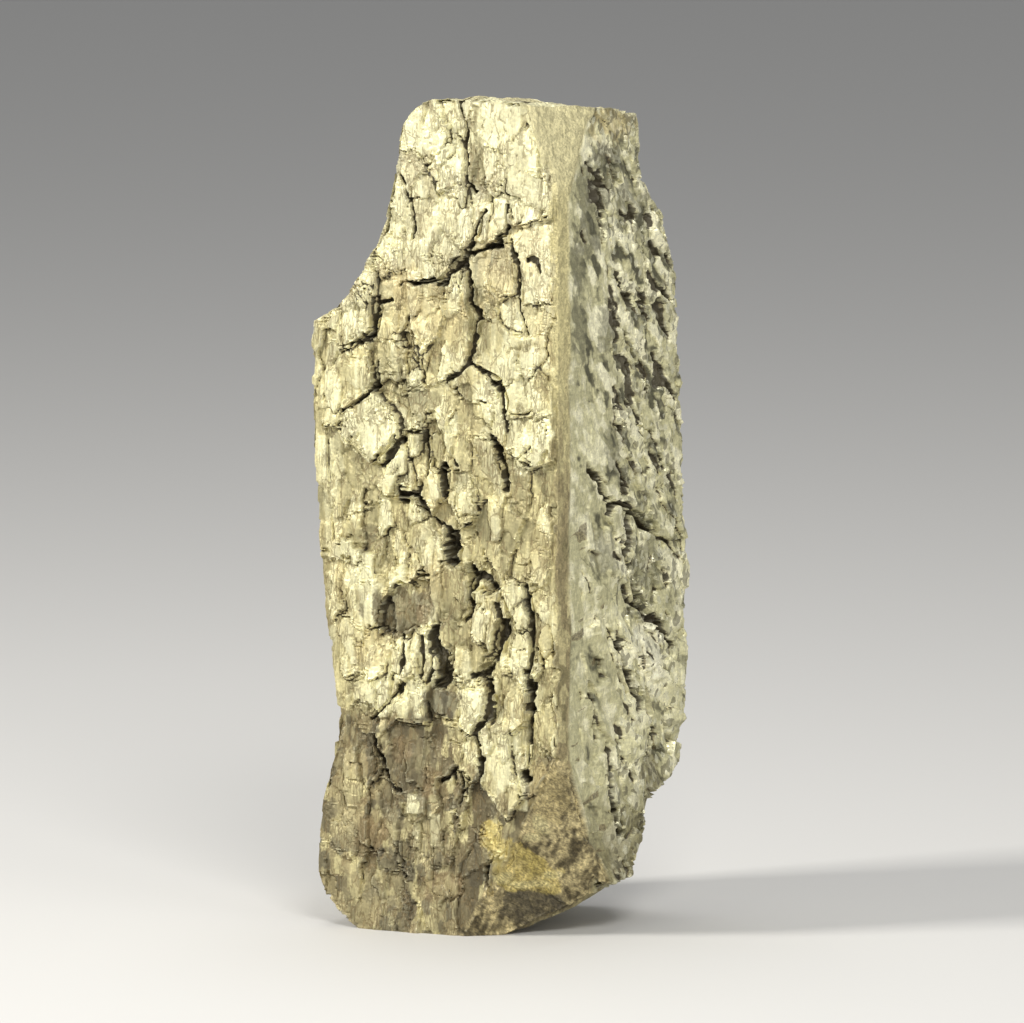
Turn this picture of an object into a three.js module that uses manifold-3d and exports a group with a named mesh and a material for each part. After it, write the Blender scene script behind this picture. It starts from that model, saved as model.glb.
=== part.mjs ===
// A pyrite specimen: one broken length of a coarse, striated crystal, standing on its lower break.
// Its front is crusted with small plates that grew side by side and left cracks between them, its right side is a
// finely lined growth face with pits, and a narrow bevel runs down the edge between the two.
// Units are millimetres, +Z is up, the front faces -Y, and the origin is at the middle of the base.
import * as THREE from "three";
import { ConvexGeometry } from "three/addons/geometries/ConvexGeometry.js";
import { mergeVertices } from "three/addons/utils/BufferGeometryUtils.js";
import Module from "manifold-3d";

const wasm = await Module();
wasm.setup();

// ---- Driving dimensions ----
const HEIGHT = 168; // the front edge of the top, apart from the small peak on it
const FRONT = -24; // the ground that the front's plates stand on
const RIGHT = 28.2; // the growth face on the right
const RIDGE_X = 26.8; // where the front meets the bevel
const RIDGE_Y = -25.8;
const BEVEL_WIDTH = 2.4;
const RIB_WIDTH = 3.6; // the plain band that frames the front's plates on each side
const PLATE_OVERLAP = 0.45; // how far each plate's root runs under its neighbours
const PLATE_BEVEL = 0.55; // how far its top is drawn in from its root
const UPRIGHT = 0.66; // under 1, the cells between seeds come out taller than wide

// ---- Small helpers ----

// A repeatable source of numbers from 0 to 1.
function randomFrom(seed) {
  let state = seed >>> 0;
  return () => {
    state = (Math.imul(state, 1664525) + 1013904223) >>> 0;
    return state / 4294967296;
  };
}

// A value that runs in straight stretches through [z, value] points.
function profile(points) {
  return (z) => {
    if (z <= points[0][0]) return points[0][1];
    for (let i = 1; i < points.length; i++) {
      const [z0, v0] = points[i - 1];
      const [z1, v1] = points[i];
      if (z <= z1) return v0 + ((v1 - v0) * (z - z0)) / (z1 - z0);
    }
    return points[points.length - 1][1];
  };
}

function solidOf(geometry) {
  const bare = geometry.clone();
  bare.deleteAttribute("normal");
  if (bare.attributes.uv) bare.deleteAttribute("uv");
  const merged = mergeVertices(bare, 1e-4);
  return new wasm.Manifold(
    new wasm.Mesh({
      numProp: 3,
      vertProperties: new Float32Array(merged.attributes.position.array),
      triVerts: new Uint32Array(merged.index.array),
    }),
  );
}

function hullOf(points) {
  return solidOf(new ConvexGeometry(points));
}

function joined(solids) {
  let round = solids;
  while (round.length > 1) {
    const next = [];
    for (let i = 0; i < round.length; i += 2)
      next.push(i + 1 < round.length ? round[i].add(round[i + 1]) : round[i]);
    round = next;
  }
  return round[0];
}

// Everything beyond a plane, as a large block to cut with.
function beyond(point, normal) {
  const size = 400;
  const block = new THREE.BoxGeometry(size, size, size);
  block.translate(0, 0, size / 2);
  const turn = new THREE.Quaternion().setFromUnitVectors(
    new THREE.Vector3(0, 0, 1),
    normal.clone().normalize(),
  );
  block.applyQuaternion(turn);
  block.translate(point.x, point.y, point.z);
  return solidOf(block);
}

// ---- The block's outline, going up ----
const leftEdge = profile([
  [0, -19], [1.5, -22], [6, -27], [10, -28.5], [17, -28.5], [25, -27.4], [31, -26], [40, -23.4], [43.4, -22.2],
  [44.4, -24.4], [49, -25.5], [64, -27.3], [74, -28.5], [90, -29.4], [106, -30], [115, -30.2], [121.5, -29.5],
  [125, -23.8], [130, -19.4], [135, -16], [141, -13.5], [151, -11.4], [163, -9.8], [167.4, -4.4], [172, 3],
]);
const rightBackY = profile([
  [0, 3], [10, 1.2], [17, 6], [25, 8.5], [28, 17.5], [31, 21.2], [45, 22.8], [64, 24.4], [80, 23.2], [100, 22.2],
  [119, 20.6], [129, 19.4], [135, 17.6], [140, 15.4], [146, 10.4], [151, 6.4], [163, 4.4], [172, 2],
]);
const rightBackX = profile([[0, 8], [10, 24.6], [17, 27.8], [28, RIGHT], [172, RIGHT]]);
const rightFrontX = profile([[0, 12], [5, 23], [9, RIGHT], [150, RIGHT], [172, 27.4]]);
const backX = profile([[0, 3], [10, 10], [17, 16], [25, 19], [28, 23], [60, 24], [130, 24], [150, 22], [172, 20]]);
const backY = profile([[0, 20], [10, 22.5], [31, 25.4], [62, 26.4], [110, 25.6], [130, 22.6], [146, 15], [156, 10.6], [172, 7]]);
const leftBackX = profile([[0, -16], [10, -24], [60, -26], [112, -25.4], [130, -20], [150, -12.6], [172, -5]]);
const leftBackY = profile([[0, 21], [20, 24], [100, 25], [120, 22.6], [140, 15.6], [156, 11], [172, 6]]);
const leftX = profile([[0, -23.4], [8, -27.4], [40, -27.8], [90, -28.4], [116, -28], [130, -21.4], [145, -15], [160, -11.6], [172, -6]]);
const baseFrontX = profile([[0, 9.5], [2, 17], [6, RIDGE_X], [172, RIDGE_X]]);

// The corners of the block at one height, anticlockwise from above, starting at the front left.
function section(z, grow) {
  const left = leftEdge(z);
  const ridge = baseFrontX(z);
  const rightFront = Math.max(rightFrontX(z), ridge + 1);
  const corners = [
    [left, FRONT + 2.6],
    [left + 1, FRONT - 0.9],
    [left + RIB_WIDTH, FRONT - 1.3],
    [left + RIB_WIDTH + 0.5, FRONT],
    [ridge - RIB_WIDTH - 0.4, FRONT],
    [ridge - RIB_WIDTH, RIDGE_Y + 0.5],
    [ridge, RIDGE_Y],
    [rightFront, RIDGE_Y + BEVEL_WIDTH],
    [Math.max(rightBackX(z), 9), rightBackY(z)],
    [backX(z), backY(z)],
    [leftBackX(z), leftBackY(z)],
    [leftX(z), 7],
  ];
  return corners.map(([x, y]) => {
    const size = Math.hypot(x, y);
    return [x + (grow * x) / size, y + (grow * y) / size];
  });
}

// A closed body through the sections at the given heights, its corners pushed out by grow.
function loftOf(heights, grow = 0) {
  const rings = heights.map((z) => section(z, grow).map(([x, y]) => [x, y, z]));
  const sides = rings[0].length;
  const positions = rings.flat().flat();
  const index = [];
  for (let r = 0; r + 1 < rings.length; r++)
    for (let c = 0; c < sides; c++) {
      const a = r * sides + c;
      const b = r * sides + ((c + 1) % sides);
      index.push(a, b, b + sides, a, b + sides, a + sides);
    }
  const capOf = (ring, first, upward) => {
    const flat = ring.map(([x, y]) => new THREE.Vector2(x, y));
    for (const [a, b, c] of THREE.ShapeUtils.triangulateShape(flat, []))
      index.push(...(upward ? [first + a, first + b, first + c] : [first + a, first + c, first + b]));
  };
  capOf(rings[0], 0, false);
  capOf(rings[rings.length - 1], (rings.length - 1) * sides, true);
  const geometry = new THREE.BufferGeometry();
  geometry.setAttribute("position", new THREE.Float32BufferAttribute(positions, 3));
  geometry.setIndex(index);
  return solidOf(geometry);
}

const BODY_HEIGHTS = [
  0, 1.5, 6, 10, 17, 25, 28, 31, 43.4, 44.4, 64, 90, 115, 121.5, 125, 130, 141, 151, 163, 167.4, 172,
];

// ---- Plates: cells between seeds, each raised as a bevelled slab ----

// Keeps the part of a convex polygon where the point times normal is under limit.
function clipped(polygon, [nx, ny], limit) {
  const kept = [];
  polygon.forEach((p, i) => {
    const q = polygon[(i + 1) % polygon.length];
    const dp = p[0] * nx + p[1] * ny - limit;
    const dq = q[0] * nx + q[1] * ny - limit;
    if (dp <= 0) kept.push(p);
    if (dp < 0 !== dq < 0 && dp !== dq) {
      const t = dp / (dp - dq);
      kept.push([p[0] + t * (q[0] - p[0]), p[1] + t * (q[1] - p[1])]);
    }
  });
  return kept;
}

// The polygon nearer to seed i than to the others, drawn in by a margin on every side.
function cellOf(seeds, i, reach, margin) {
  const [sx, sz, , size = 0] = seeds[i];
  const centre = [sx, sz * UPRIGHT];
  let cell = [
    [centre[0] - reach, centre[1] - reach],
    [centre[0] + reach, centre[1] - reach],
    [centre[0] + reach, centre[1] + reach],
    [centre[0] - reach, centre[1] + reach],
  ];
  seeds.forEach(([ox, oz, , otherSize = 0], j) => {
    if (j === i) return;
    const away = [ox - centre[0], oz * UPRIGHT - centre[1]];
    const distance = Math.hypot(...away);
    if (distance > 2.5 * reach) return;
    const normal = [away[0] / distance, away[1] / distance];
    const share = distance / 2 + (size * size - otherSize * otherSize) / (2 * distance);
    cell = clipped(cell, normal, normal[0] * centre[0] + normal[1] * centre[1] + share - margin);
  });
  return cell.map(([x, z]) => [x, z / UPRIGHT]);
}

// Adds seeds wherever the ones given leave room.
function filled(seeds, [x0, x1], [z0, z1], pitch, lifts, random) {
  const all = [...seeds];
  for (let z = z0; z < z1; z += pitch / UPRIGHT)
    for (let x = x0; x < x1; x += pitch) {
      const at = [x + pitch * random(), z + (pitch / UPRIGHT) * random()];
      const lift = lifts[0] + (lifts[1] - lifts[0]) * random();
      const near = all.some(([ox, oz]) => Math.hypot(ox - at[0], (oz - at[1]) * UPRIGHT) < 0.85 * pitch);
      if (!near) all.push([at[0], at[1], lift]);
    }
  return all;
}

// A slab over a polygon of [across, up] points, rooted under the ground. onto(across, up, out) places a point.
function slabOf(cell, lift, lean, { bevel, root, onto }) {
  const across = cell.reduce((sum, p) => sum + p[0], 0) / cell.length;
  const up = cell.reduce((sum, p) => sum + p[1], 0) / cell.length;
  const rise = ([u, v]) => Math.max(0.2, lift + lean[0] * (u - across) + lean[1] * (v - up));
  const points = [];
  for (const [u, v] of cell) {
    const inset = Math.min(0.4, bevel / Math.hypot(u - across, v - up));
    const top = [u + (across - u) * inset, v + (up - v) * inset];
    points.push(onto(u, v, -root));
    points.push(onto(...top, rise(top)));
  }
  return hullOf(points);
}

function platesOf(seeds, habit, random) {
  const { reach, span, lean, tilt } = habit;
  const slabs = [];
  seeds.forEach(([, , lift], i) => {
    const leans = [lean[0] + tilt * (random() - 0.5), lean[1] + tilt * (random() - 0.5)];
    const whole = cellOf(seeds, i, reach, -PLATE_OVERLAP);
    const cell = clipped(clipped(whole, [1, 0], span[1]), [-1, 0], -span[0]);
    if (lift > 0 && cell.length > 2) slabs.push(slabOf(cell, lift, leans, habit));
  });
  return joined(slabs);
}

// ---- Cracks and pits: a lopsided V swept along a path, closing up at both ends ----
// On paths that run down, the wall on the left is steep and the one on the right slopes.
const CRACK_TOP = 4; // how far above the ground the V opens
const STEEP_WALL = 0.3; // shares of the crack's width on each side of its bottom
const SLOPED_WALL = 0.7;
const CRACK_WIDTHS = [0.6, 1.25]; // how much the width varies along it
function crackOf({ width, depth, path }, onto, random) {
  const positions = [];
  path.forEach(([u, v], i) => {
    const [u0, v0] = path[Math.max(i - 1, 0)];
    const [u1, v1] = path[Math.min(i + 1, path.length - 1)];
    const length = Math.hypot(u1 - u0, v1 - v0);
    const last = i === 0 || i === path.length - 1;
    const [narrow, wide] = CRACK_WIDTHS;
    const open = width * (last ? 0.4 : narrow + (wide - narrow) * random()) * (1 + CRACK_TOP / (depth + 2));
    const side = [(-(v1 - v0) / length) * open, ((u1 - u0) / length) * open];
    for (const point of [
      onto(u + SLOPED_WALL * side[0], v + SLOPED_WALL * side[1], CRACK_TOP),
      onto(u, v, -depth * (last ? 0.6 : 1)),
      onto(u - STEEP_WALL * side[0], v - STEEP_WALL * side[1], CRACK_TOP),
    ])
      positions.push(...point);
  });
  const index = [0, 1, 2];
  for (let i = 0; i + 1 < path.length; i++)
    for (let c = 0; c < 3; c++) {
      const a = 3 * i + c;
      const b = 3 * i + ((c + 1) % 3);
      index.push(a, a + 3, b, b, a + 3, b + 3);
    }
  const end = 3 * (path.length - 1);
  index.push(end, end + 2, end + 1);
  const geometry = new THREE.BufferGeometry();
  geometry.setAttribute("position", new THREE.Float32BufferAttribute(positions, 3));
  geometry.setIndex(index);
  return faceOut(geometry);
}

// The solid of a closed surface whose triangles all face the same way, in or out.
function faceOut(geometry) {
  const [a, b, c] = [new THREE.Vector3(), new THREE.Vector3(), new THREE.Vector3()];
  const { position } = geometry.attributes;
  const { array } = geometry.index;
  let volume = 0;
  for (let i = 0; i < array.length; i += 3) {
    a.fromBufferAttribute(position, array[i]);
    b.fromBufferAttribute(position, array[i + 1]);
    c.fromBufferAttribute(position, array[i + 2]);
    volume += a.dot(b.cross(c));
  }
  if (volume < 0) geometry.setIndex([...array].reverse());
  return solidOf(geometry);
}

function cracksOf(cracks, onto, random) {
  return joined(cracks.map((crack) => crackOf(crack, onto, random)));
}

// ---- The front: [x, z, height above the ground, extra size] ----
const onFront = (x, z, out) => new THREE.Vector3(x, FRONT - out, z);
const frontSeeds = [
  // the narrow top
  [-6.4, 162, 1.9, 1.5], [-0.6, 161.4, 2.2, 1.5], [3, 164.6, 1.6], [2, 155, 2.4, 2], [-7.4, 153.6, 1.7], [8.2, 161, 1.1],
  [13.4, 163.4, 1.9, 2], [19.6, 160, 2.3, 2.5], [11.4, 154.6, 1.5, 1], [19, 149.4, 2.1, 2.5], [-9.2, 146, 1.5],
  [-3.8, 148.6, 1.3], [3.6, 146.4, 2.2, 2.5], [8.8, 149.6, 1.4], [12.2, 145, 2.2, 1], [-10.6, 141.4, 1],
  [-5, 139.4, 1.9, 1.5], [0.8, 138.4, 2.2], [-12.6, 135.6, 1.7, 1], [-5.4, 133.4, 2, 1], [-16.6, 130.6, 1.8],
  [9.4, 135, 0.9], [13.8, 133.6, 2.3, 2], [20, 140, 1.3, 2], [21.2, 132, 1.8, 1], [3.9, 131, 1.3], [-10.8, 130.4, 1.6],
  // down to the middle
  [-4.6, 124.6, 1.9, 4], [-18.8, 123.4, 2.1, 1.5], [-12, 122.6, 1.5], [3.2, 119.4, 2, 1], [11, 127, 0.9], [15.6, 125.4, 1],
  [21.4, 125.6, 1.6], [13, 118.2, 1.9, 3], [22, 118.6, 1.7], [-19.2, 111.4, 2.1, 2], [-12, 116.2, 0.6], [-11.6, 109.4, 0.8],
  [-7, 112.6, 1.6], [-0.8, 115, 1.7], [-7.2, 118.9, 1], [-5.6, 106.6, 1.1], [1, 107.4, 1.1], [8, 111.4, 2.1],
  [12, 107.4, 2.4], [-15, 101.4, 2.8, 4], [19.4, 110.6, 2.3, 2], [20.2, 101, 2.1, 2], [8.4, 104, 1.6], [4.4, 102.6, 1.2],
  [-1.6, 103, 0.8], [-4.9, 97, 2, 1], [-8.6, 92.8, 2.7, 1.5], [-12.2, 95.8, 0.9], [0.4, 97.8, 1.6], [5.2, 98.4, 2.3],
  [8.4, 98.6, 1.4], [11.4, 94.4, 2.2], [-18, 92, 0.7, 2], [-2.5, 88.6, 2.6], [5.6, 88.8, 2.6, 1], [9.4, 91, 1.2],
  [17.8, 92.4, 1.5], [21.8, 91, 1.1], [1.2, 82.6, 1.2], [12.8, 81.4, 2.1, 3], [-8.4, 83, 1.2], [-16, 79, 0.5, 1],
  // below the middle
  [-17, 72.4, 2.2], [-12.4, 71.6, 2.1], [-7.4, 76, 1.7], [-1.6, 78.6, 1.6], [8, 77.4, 1.1], [19.4, 77, 1.3],
  [-16.8, 66.6, 2.3, 1], [-9.4, 65, 0.5, 2], [-4.4, 66.6, 0.7], [2.4, 69, 2.5, 2.5], [10.4, 65.4, 2.9, 1.5],
  [10, 72.4, 0.3], [16.8, 66, 2.2, 1], [17.6, 57.4, 1.9, 1.5], [23.2, 63.6, 1.8], [-19.4, 56, 1.3], [-14, 54.6, 2.2],
  [-10.4, 53.6, 1.8], [-6.6, 56, 2.6], [-2.8, 54.6, 2.2], [3.4, 57.8, 2.1], [6.6, 53.2, 2.3], [-17.6, 47.6, 1.6],
  [-12.2, 49, 1.9], [-6, 47.8, 2.5], [1, 45.4, 0.7, 1.5], [7, 46.4, 2.7, 1.5], [14.6, 47, 2.3, 2], [23.4, 47, 1.7, 1],
  [13, 35, 2.7, 3], [17.6, 38, 1.8], [-6.4, 34.6, 0.6, 4], [3, 36.4, 1.3], [6.4, 35, 1.6], [4.4, 30.4, 1.2],
  // the dark foot
  [-5.6, 26.6, 2.1], [-12.4, 23.4, 0.8], [-19.4, 33, 1.3, 1], [-20.6, 22, 1.5, 1], [-7.2, 19.6, 1.5], [-3.6, 18.4, 1.4],
  [0.6, 18.8, 1.6], [4.6, 15.6, 1.3], [-15.4, 7.4, 1.6, 1], [-10.4, 6.6, 1.3], [0.2, 9, 1.5, 1.5], [6.6, 8.6, 1.5],
  [-21.4, 9, 1.4, 1], [9, 27, 0.5], [16.4, 6, 1.2, 1],
];
const frontCracks = [
  { width: 1.2, depth: 1.2, path: [[4.2, 168], [5.6, 162], [6.2, 157], [6.4, 152]] },
  { width: 1.4, depth: 1.6, path: [[15, 147], [15.3, 141.4], [12.6, 139.8], [9.4, 138.2], [6.4, 137.6]] },
  { width: 1.4, depth: 1.6, path: [[9.6, 146], [8.6, 142], [6.4, 138], [4.6, 134.8], [1, 131.6], [-2, 130.6], [-8, 130.4]] },
  { width: 2.6, depth: 2, path: [[5.4, 135], [7, 130], [6.6, 127], [8, 124], [7.4, 119.6], [7, 115.4]] },
  { width: 1.3, depth: 1.4, path: [[7.4, 115.2], [9.8, 113.6], [13.4, 111.8], [15, 108], [15.3, 102.4]] },
  { width: 1.1, depth: 1.2, path: [[16, 140], [17.6, 136], [18.2, 130], [18.2, 126.6], [19.5, 122.4]] },
  { width: 1.5, depth: 1.6, path: [[-11.4, 127], [-13.8, 126.2], [-14.6, 120.6], [-17, 118.6], [-23, 116]] },
  { width: 1.5, depth: 1.6, path: [[-14.4, 114], [-14, 109.4], [-15.6, 107.6], [-19, 105.4], [-22.4, 103.6]] },
  { width: 1.5, depth: 1.5, path: [[-2.8, 92], [-2.6, 97], [-3.4, 101], [-6, 101], [-8.4, 98.8], [-12.4, 94]] },
  { width: 1.9, depth: 1.8, path: [[-8.4, 88.4], [-4.4, 87.8]] },
  { width: 2, depth: 2.2, path: [[-0.6, 93.6], [1.5, 92.8], [1.5, 86.4]] },
  { width: 2.3, depth: 2.2, path: [[11.6, 100.4], [13.6, 97.4], [14.6, 93], [14, 89.6]] },
  { width: 1.3, depth: 1.4, path: [[-5.6, 86], [-3, 84], [-0.4, 81.4], [2, 79]] },
  { width: 3.2, depth: 3, path: [[1.6, 80.4], [3.4, 77.4], [4, 74.6]] },
  { width: 1.2, depth: 1.2, path: [[13, 72], [9.6, 72.4], [7.2, 73.4], [7.4, 68], [6.4, 64.4], [4.4, 62.8]] },
  { width: 2.6, depth: 2, path: [[13.8, 69], [14.4, 62], [13.2, 57.4], [10.6, 54.4], [7.8, 52]] },
  { width: 1.6, depth: 2.4, path: [[20, 70.6], [20.6, 62], [21, 56], [20.2, 52.4]] },
  { width: 1.8, depth: 2.4, path: [[20.2, 52.8], [20.4, 45], [20.2, 38], [19.8, 32.6]] },
  { width: 2.8, depth: 2, path: [[-1.2, 60], [0.6, 55], [1.2, 50.6], [-2, 48.4]] },
  { width: 1.4, depth: 1.4, path: [[-8.6, 51], [-9.6, 48], [-12.4, 45.2], [-16, 42]] },
  { width: 1.9, depth: 1.8, path: [[10.4, 52.6], [11.6, 48.4], [11.2, 44.4], [8.6, 41.8], [6.8, 40]] },
  { width: 1.1, depth: 1.2, path: [[7, 40.2], [8.4, 37.4], [9.2, 33.4]] },
  { width: 1.5, depth: 1.2, path: [[-15.6, 39.6], [-14.4, 34.4], [-12.4, 31], [-9, 28.6]] },
  { width: 1.3, depth: 1.4, path: [[10.6, 14], [11, 9], [12, 2.6]] },
];
// Round, low growths: [x, z, radius across, radius up, height]
const frontButtons = [
  [1, 46, 3.6, 3.5, 1.5], [-6.2, 35, 6.2, 6.6, 1.4], [-12.2, 14, 2.3, 2.6, 1.8], [-7.2, 12, 1.9, 2, 1.7], [16.4, 6, 4, 3.4, 1.7],
  [1.4, 9.6, 3.8, 3.2, 1.9], [3.9, 131, 1, 2.6, 2],
];

const bandWidth = profile([[0, 0.9], [28, 1.2], [31, 3], [115, 3], [121.5, 0.9]]);

function frontRelief() {
  const random = randomFrom(11);
  const seeds = filled(frontSeeds, [-28, 26], [0, 168], 10, [0.7, 1.8], random);
  const habit = { reach: 9, span: [-30, 30], lean: [0.11, -0.06], tilt: 0.2, bevel: PLATE_BEVEL, root: 0.5, onto: onFront };
  const plates = platesOf(seeds, habit, random);
  const buttons = frontButtons.map(([x, z, across, up, lift]) => {
    const points = [];
    for (let i = 0; i < 9; i++) {
      const turn = (i / 9) * 2 * Math.PI + 0.2 * random();
      const [c, s] = [Math.cos(turn), Math.sin(turn)];
      points.push(onFront(x + across * c, z + up * s, -2));
      points.push(onFront(x + across * c, z + up * s, lift - 0.7));
      points.push(onFront(x + 0.72 * across * c, z + 0.72 * up * s, lift));
    }
    return hullOf(points);
  });
  // The plates stop short of the block's edges, where a plain band shows along most of the left one.
  const outline = new THREE.Shape();
  outline.moveTo(leftEdge(0) + bandWidth(0), 0);
  for (const z of BODY_HEIGHTS.slice(1)) outline.lineTo(leftEdge(z) + bandWidth(z), z);
  for (const z of [HEIGHT + 4, 6, 0]) outline.lineTo(baseFrontX(z) - 0.9, z);
  const reach = new THREE.ExtrudeGeometry(outline, { depth: 12, bevelEnabled: false, curveSegments: 1 });
  reach.rotateX(Math.PI / 2);
  reach.translate(0, FRONT + 6, 0);
  return joined([plates, ...buttons]).intersect(solidOf(reach));
}

// ---- The right side: [y, z] paths of its pits, and its raised plates ----
const onRight = (y, z, out) => new THREE.Vector3(RIGHT + out, y, z);
const rightCracks = [
  { width: 3, depth: 1.6, path: [[-18, 156], [-13, 152], [-8, 150], [-3, 148]] },
  { width: 3.6, depth: 1.5, path: [[-19, 149], [-14, 144.6], [-11, 139]] },
  { width: 2.4, depth: 1.6, path: [[-14, 141], [-12, 136], [-13, 131.4]] },
  { width: 2.2, depth: 1.2, path: [[-4, 143.6], [-3.4, 138], [-5, 132.6]] },
  { width: 3, depth: 2.6, path: [[-5.4, 132], [-2, 128.6], [1.6, 126], [6.4, 123.4]] },
  { width: 2.4, depth: 2, path: [[6.8, 138.4], [8, 132], [8.4, 126]] },
  { width: 2.2, depth: 2, path: [[-1.6, 120], [2.4, 115.6], [5.4, 112]] },
  { width: 3.4, depth: 2.6, path: [[5, 113.6], [7.6, 109], [11, 105.4]] },
  { width: 2, depth: 1.8, path: [[-5.4, 106], [-2, 100.6]] },
  { width: 1.6, depth: 1.6, path: [[2, 100.6], [6.4, 99.4], [9, 98.4], [12.4, 93.6]] },
  { width: 1.9, depth: 2.2, path: [[-15.6, 94], [-10.6, 89.4], [-8, 86], [-2, 85.2], [5, 82.4], [10, 79.4], [14, 77.4]] },
  { width: 1.3, depth: 1.6, path: [[14, 77.4], [18, 75.2], [19, 70.6]] },
  { width: 1.8, depth: 1.6, path: [[-1.4, 85], [-1, 79], [-0.4, 73.6]] },
  { width: 4, depth: 3, path: [[-0.4, 73.4], [2.4, 69], [4, 64]] },
  { width: 2.6, depth: 2.4, path: [[4, 64.4], [8.6, 61.4], [12, 59.6], [16, 55.6]] },
  { width: 2.2, depth: 2.2, path: [[-4.4, 57], [-2.6, 53.6], [0, 48.8], [1.4, 45.4]] },
  { width: 3.4, depth: 2.8, path: [[7.6, 47.6], [9.6, 42], [8.6, 35.6], [11.4, 29]] },
  { width: 1.7, depth: 1.8, path: [[-14.4, 46], [-13.6, 43], [-12.6, 40]] },
  { width: 2, depth: 2, path: [[-10.6, 39], [-8.4, 35], [-8, 30], [-6.4, 24], [-2, 19]] },
];
// [y, z, height above the face, extra size]
const rightSeeds = [
  [-4, 160, 1.1, 2], [4, 157, 0.6], [-12, 156, 0.3], [-8, 146, 0.3, 1], [2, 149, 0.5, 1], [5, 142, 0.5], [-11, 136, 0.4, 1],
  [0, 138, 0.6, 1], [10, 132, 0.6, 1], [-6, 127, 0.5, 1], [3, 123, 0.9, 1], [14, 122, 0.5, 1], [17, 112, 0.7, 2], [8, 114, 0.4],
  [-7, 112, 0.7, 1], [1, 109, 0.9], [9, 104, 0.6], [3, 98, 1.1], [-8, 100, 0.6, 1], [17, 99, 0.5, 1], [8, 91, 0.6, 1],
  [-3, 92, 0.7], [17, 86, 0.5, 2], [-12, 83, 0.3, 1], [-4, 78, 0.9, 1.5], [8, 74, 0.4, 2], [-8, 66, 0.5, 1], [-2, 64, 0.8, 1],
  [15, 66, 0.6, 2], [5, 56.6, 1.4, 1.5], [11, 56.2, 1.2], [-9, 54, 0.4, 1], [-3, 50, 1, 0.5], [5, 47.6, 0.9], [13, 50, 0.4],
  [19, 46, 0.9, 3], [2.6, 39.6, 1.2, 2.5], [-7, 42, 0.7], [12, 36, 0.3], [19, 35, 0.9, 2], [3.6, 28.6, 0.9, 1],
  [-7, 29, 0.6, 1], [10, 27, 0.4], [2, 19, 0.6, 1], [-7, 17, 0.7],
];
const RIGHT_PLAIN = -15; // forward of this the face is left smooth

function rightRelief() {
  const random = randomFrom(23);
  const habit = { reach: 7, span: [-18, 30], lean: [0.04, -0.03], tilt: 0.1, bevel: PLATE_BEVEL, root: 0.5, onto: onRight };
  const outline = new THREE.Shape();
  const heights = BODY_HEIGHTS.filter((z) => z >= 10);
  heights.forEach((z, i) => (i ? outline.lineTo(RIGHT_PLAIN, z) : outline.moveTo(RIGHT_PLAIN, z)));
  [...heights].reverse().forEach((z) => outline.lineTo(Math.max(RIGHT_PLAIN + 2, rightBackY(z) - 0.7), z));
  const reach = new THREE.ExtrudeGeometry(outline, { depth: 12, bevelEnabled: false, curveSegments: 1 });
  reach.rotateX(Math.PI / 2);
  reach.rotateZ(Math.PI / 2);
  reach.translate(RIGHT - 6, 0, 0);
  return platesOf(rightSeeds, habit, random).intersect(solidOf(reach));
}

// ---- The left side and the back: coarser plates of the same habit ----
const HIDDEN_PITCH = 21;
const HIDDEN_GROWTH = 1.3;
const backFace = (x, z) => {
  const t = (x - leftBackX(z)) / (backX(z) - leftBackX(z));
  return leftBackY(z) + (backY(z) - leftBackY(z)) * Math.min(1, Math.max(0, t));
};
const leftFace = (y, z) => {
  if (y < 7) return leftEdge(z) + ((leftX(z) - leftEdge(z)) * (y - FRONT)) / (7 - FRONT);
  return leftX(z) + ((leftBackX(z) - leftX(z)) * (y - 7)) / (leftBackY(z) - 7);
};
const onBack = (x, z, out) => new THREE.Vector3(x, backFace(x, z) + out - 0.6, z);
const onLeft = (y, z, out) => new THREE.Vector3(leftFace(y, z) - out + 0.6, y, z);

function hiddenRelief() {
  const random = randomFrom(37);
  const back = filled([], [-20, 22], [12, 158], HIDDEN_PITCH, [0.8, 2.6], random);
  const left = filled([], [-18, 19], [14, 154], HIDDEN_PITCH, [0.8, 2.6], random);
  const habit = { reach: 15, span: [-19, 20], lean: [0, -0.03], tilt: 0.12, bevel: 2.6, root: 3 };
  return joined([
    platesOf(back.filter(([x, z]) => x > leftBackX(z) + 4), { ...habit, onto: onBack }, random),
    platesOf(left.filter(([y, z]) => y < leftBackY(z) - 4), { ...habit, onto: onLeft }, random),
  ]).intersect(loftOf([3, 10, 25, 64, 115, 123, 130, 151, 164], HIDDEN_GROWTH));
}

// ---- Breaks: flat cuts at the top and the foot ----
function breaks() {
  const topSlope = beyond(new THREE.Vector3(0, RIDGE_Y, HEIGHT), new THREE.Vector3(0, 0.1, 1));
  const shoulder = beyond(new THREE.Vector3(21, RIDGE_Y, HEIGHT - 0.4), new THREE.Vector3(0.82, -0.49, 0.29));
  const foot = beyond(new THREE.Vector3(28.4, -26, 38), new THREE.Vector3(0.625, -0.68, -0.386));
  return joined([topSlope, shoulder, foot]);
}

// Lumps left standing on the breaks: [x, y, z, radii across, deep, up]
const lumps = [
  [8.4, -20.8, 166, 8.6, 4.4, 2.6], [20, 1.4, 161.6, 6.6, 3.4, 2.6], [-3.4, -14, 165, 4, 6, 1.6], [14, -8, 165.4, 6, 7, 1.3],
  [18.2, -22.6, 29.6, 2.6, 1.8, 3.6], [22.4, -18.2, 21.4, 3, 2.4, 3.4], [15.4, -19.4, 12.6, 3.4, 2, 2.6],
];

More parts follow.
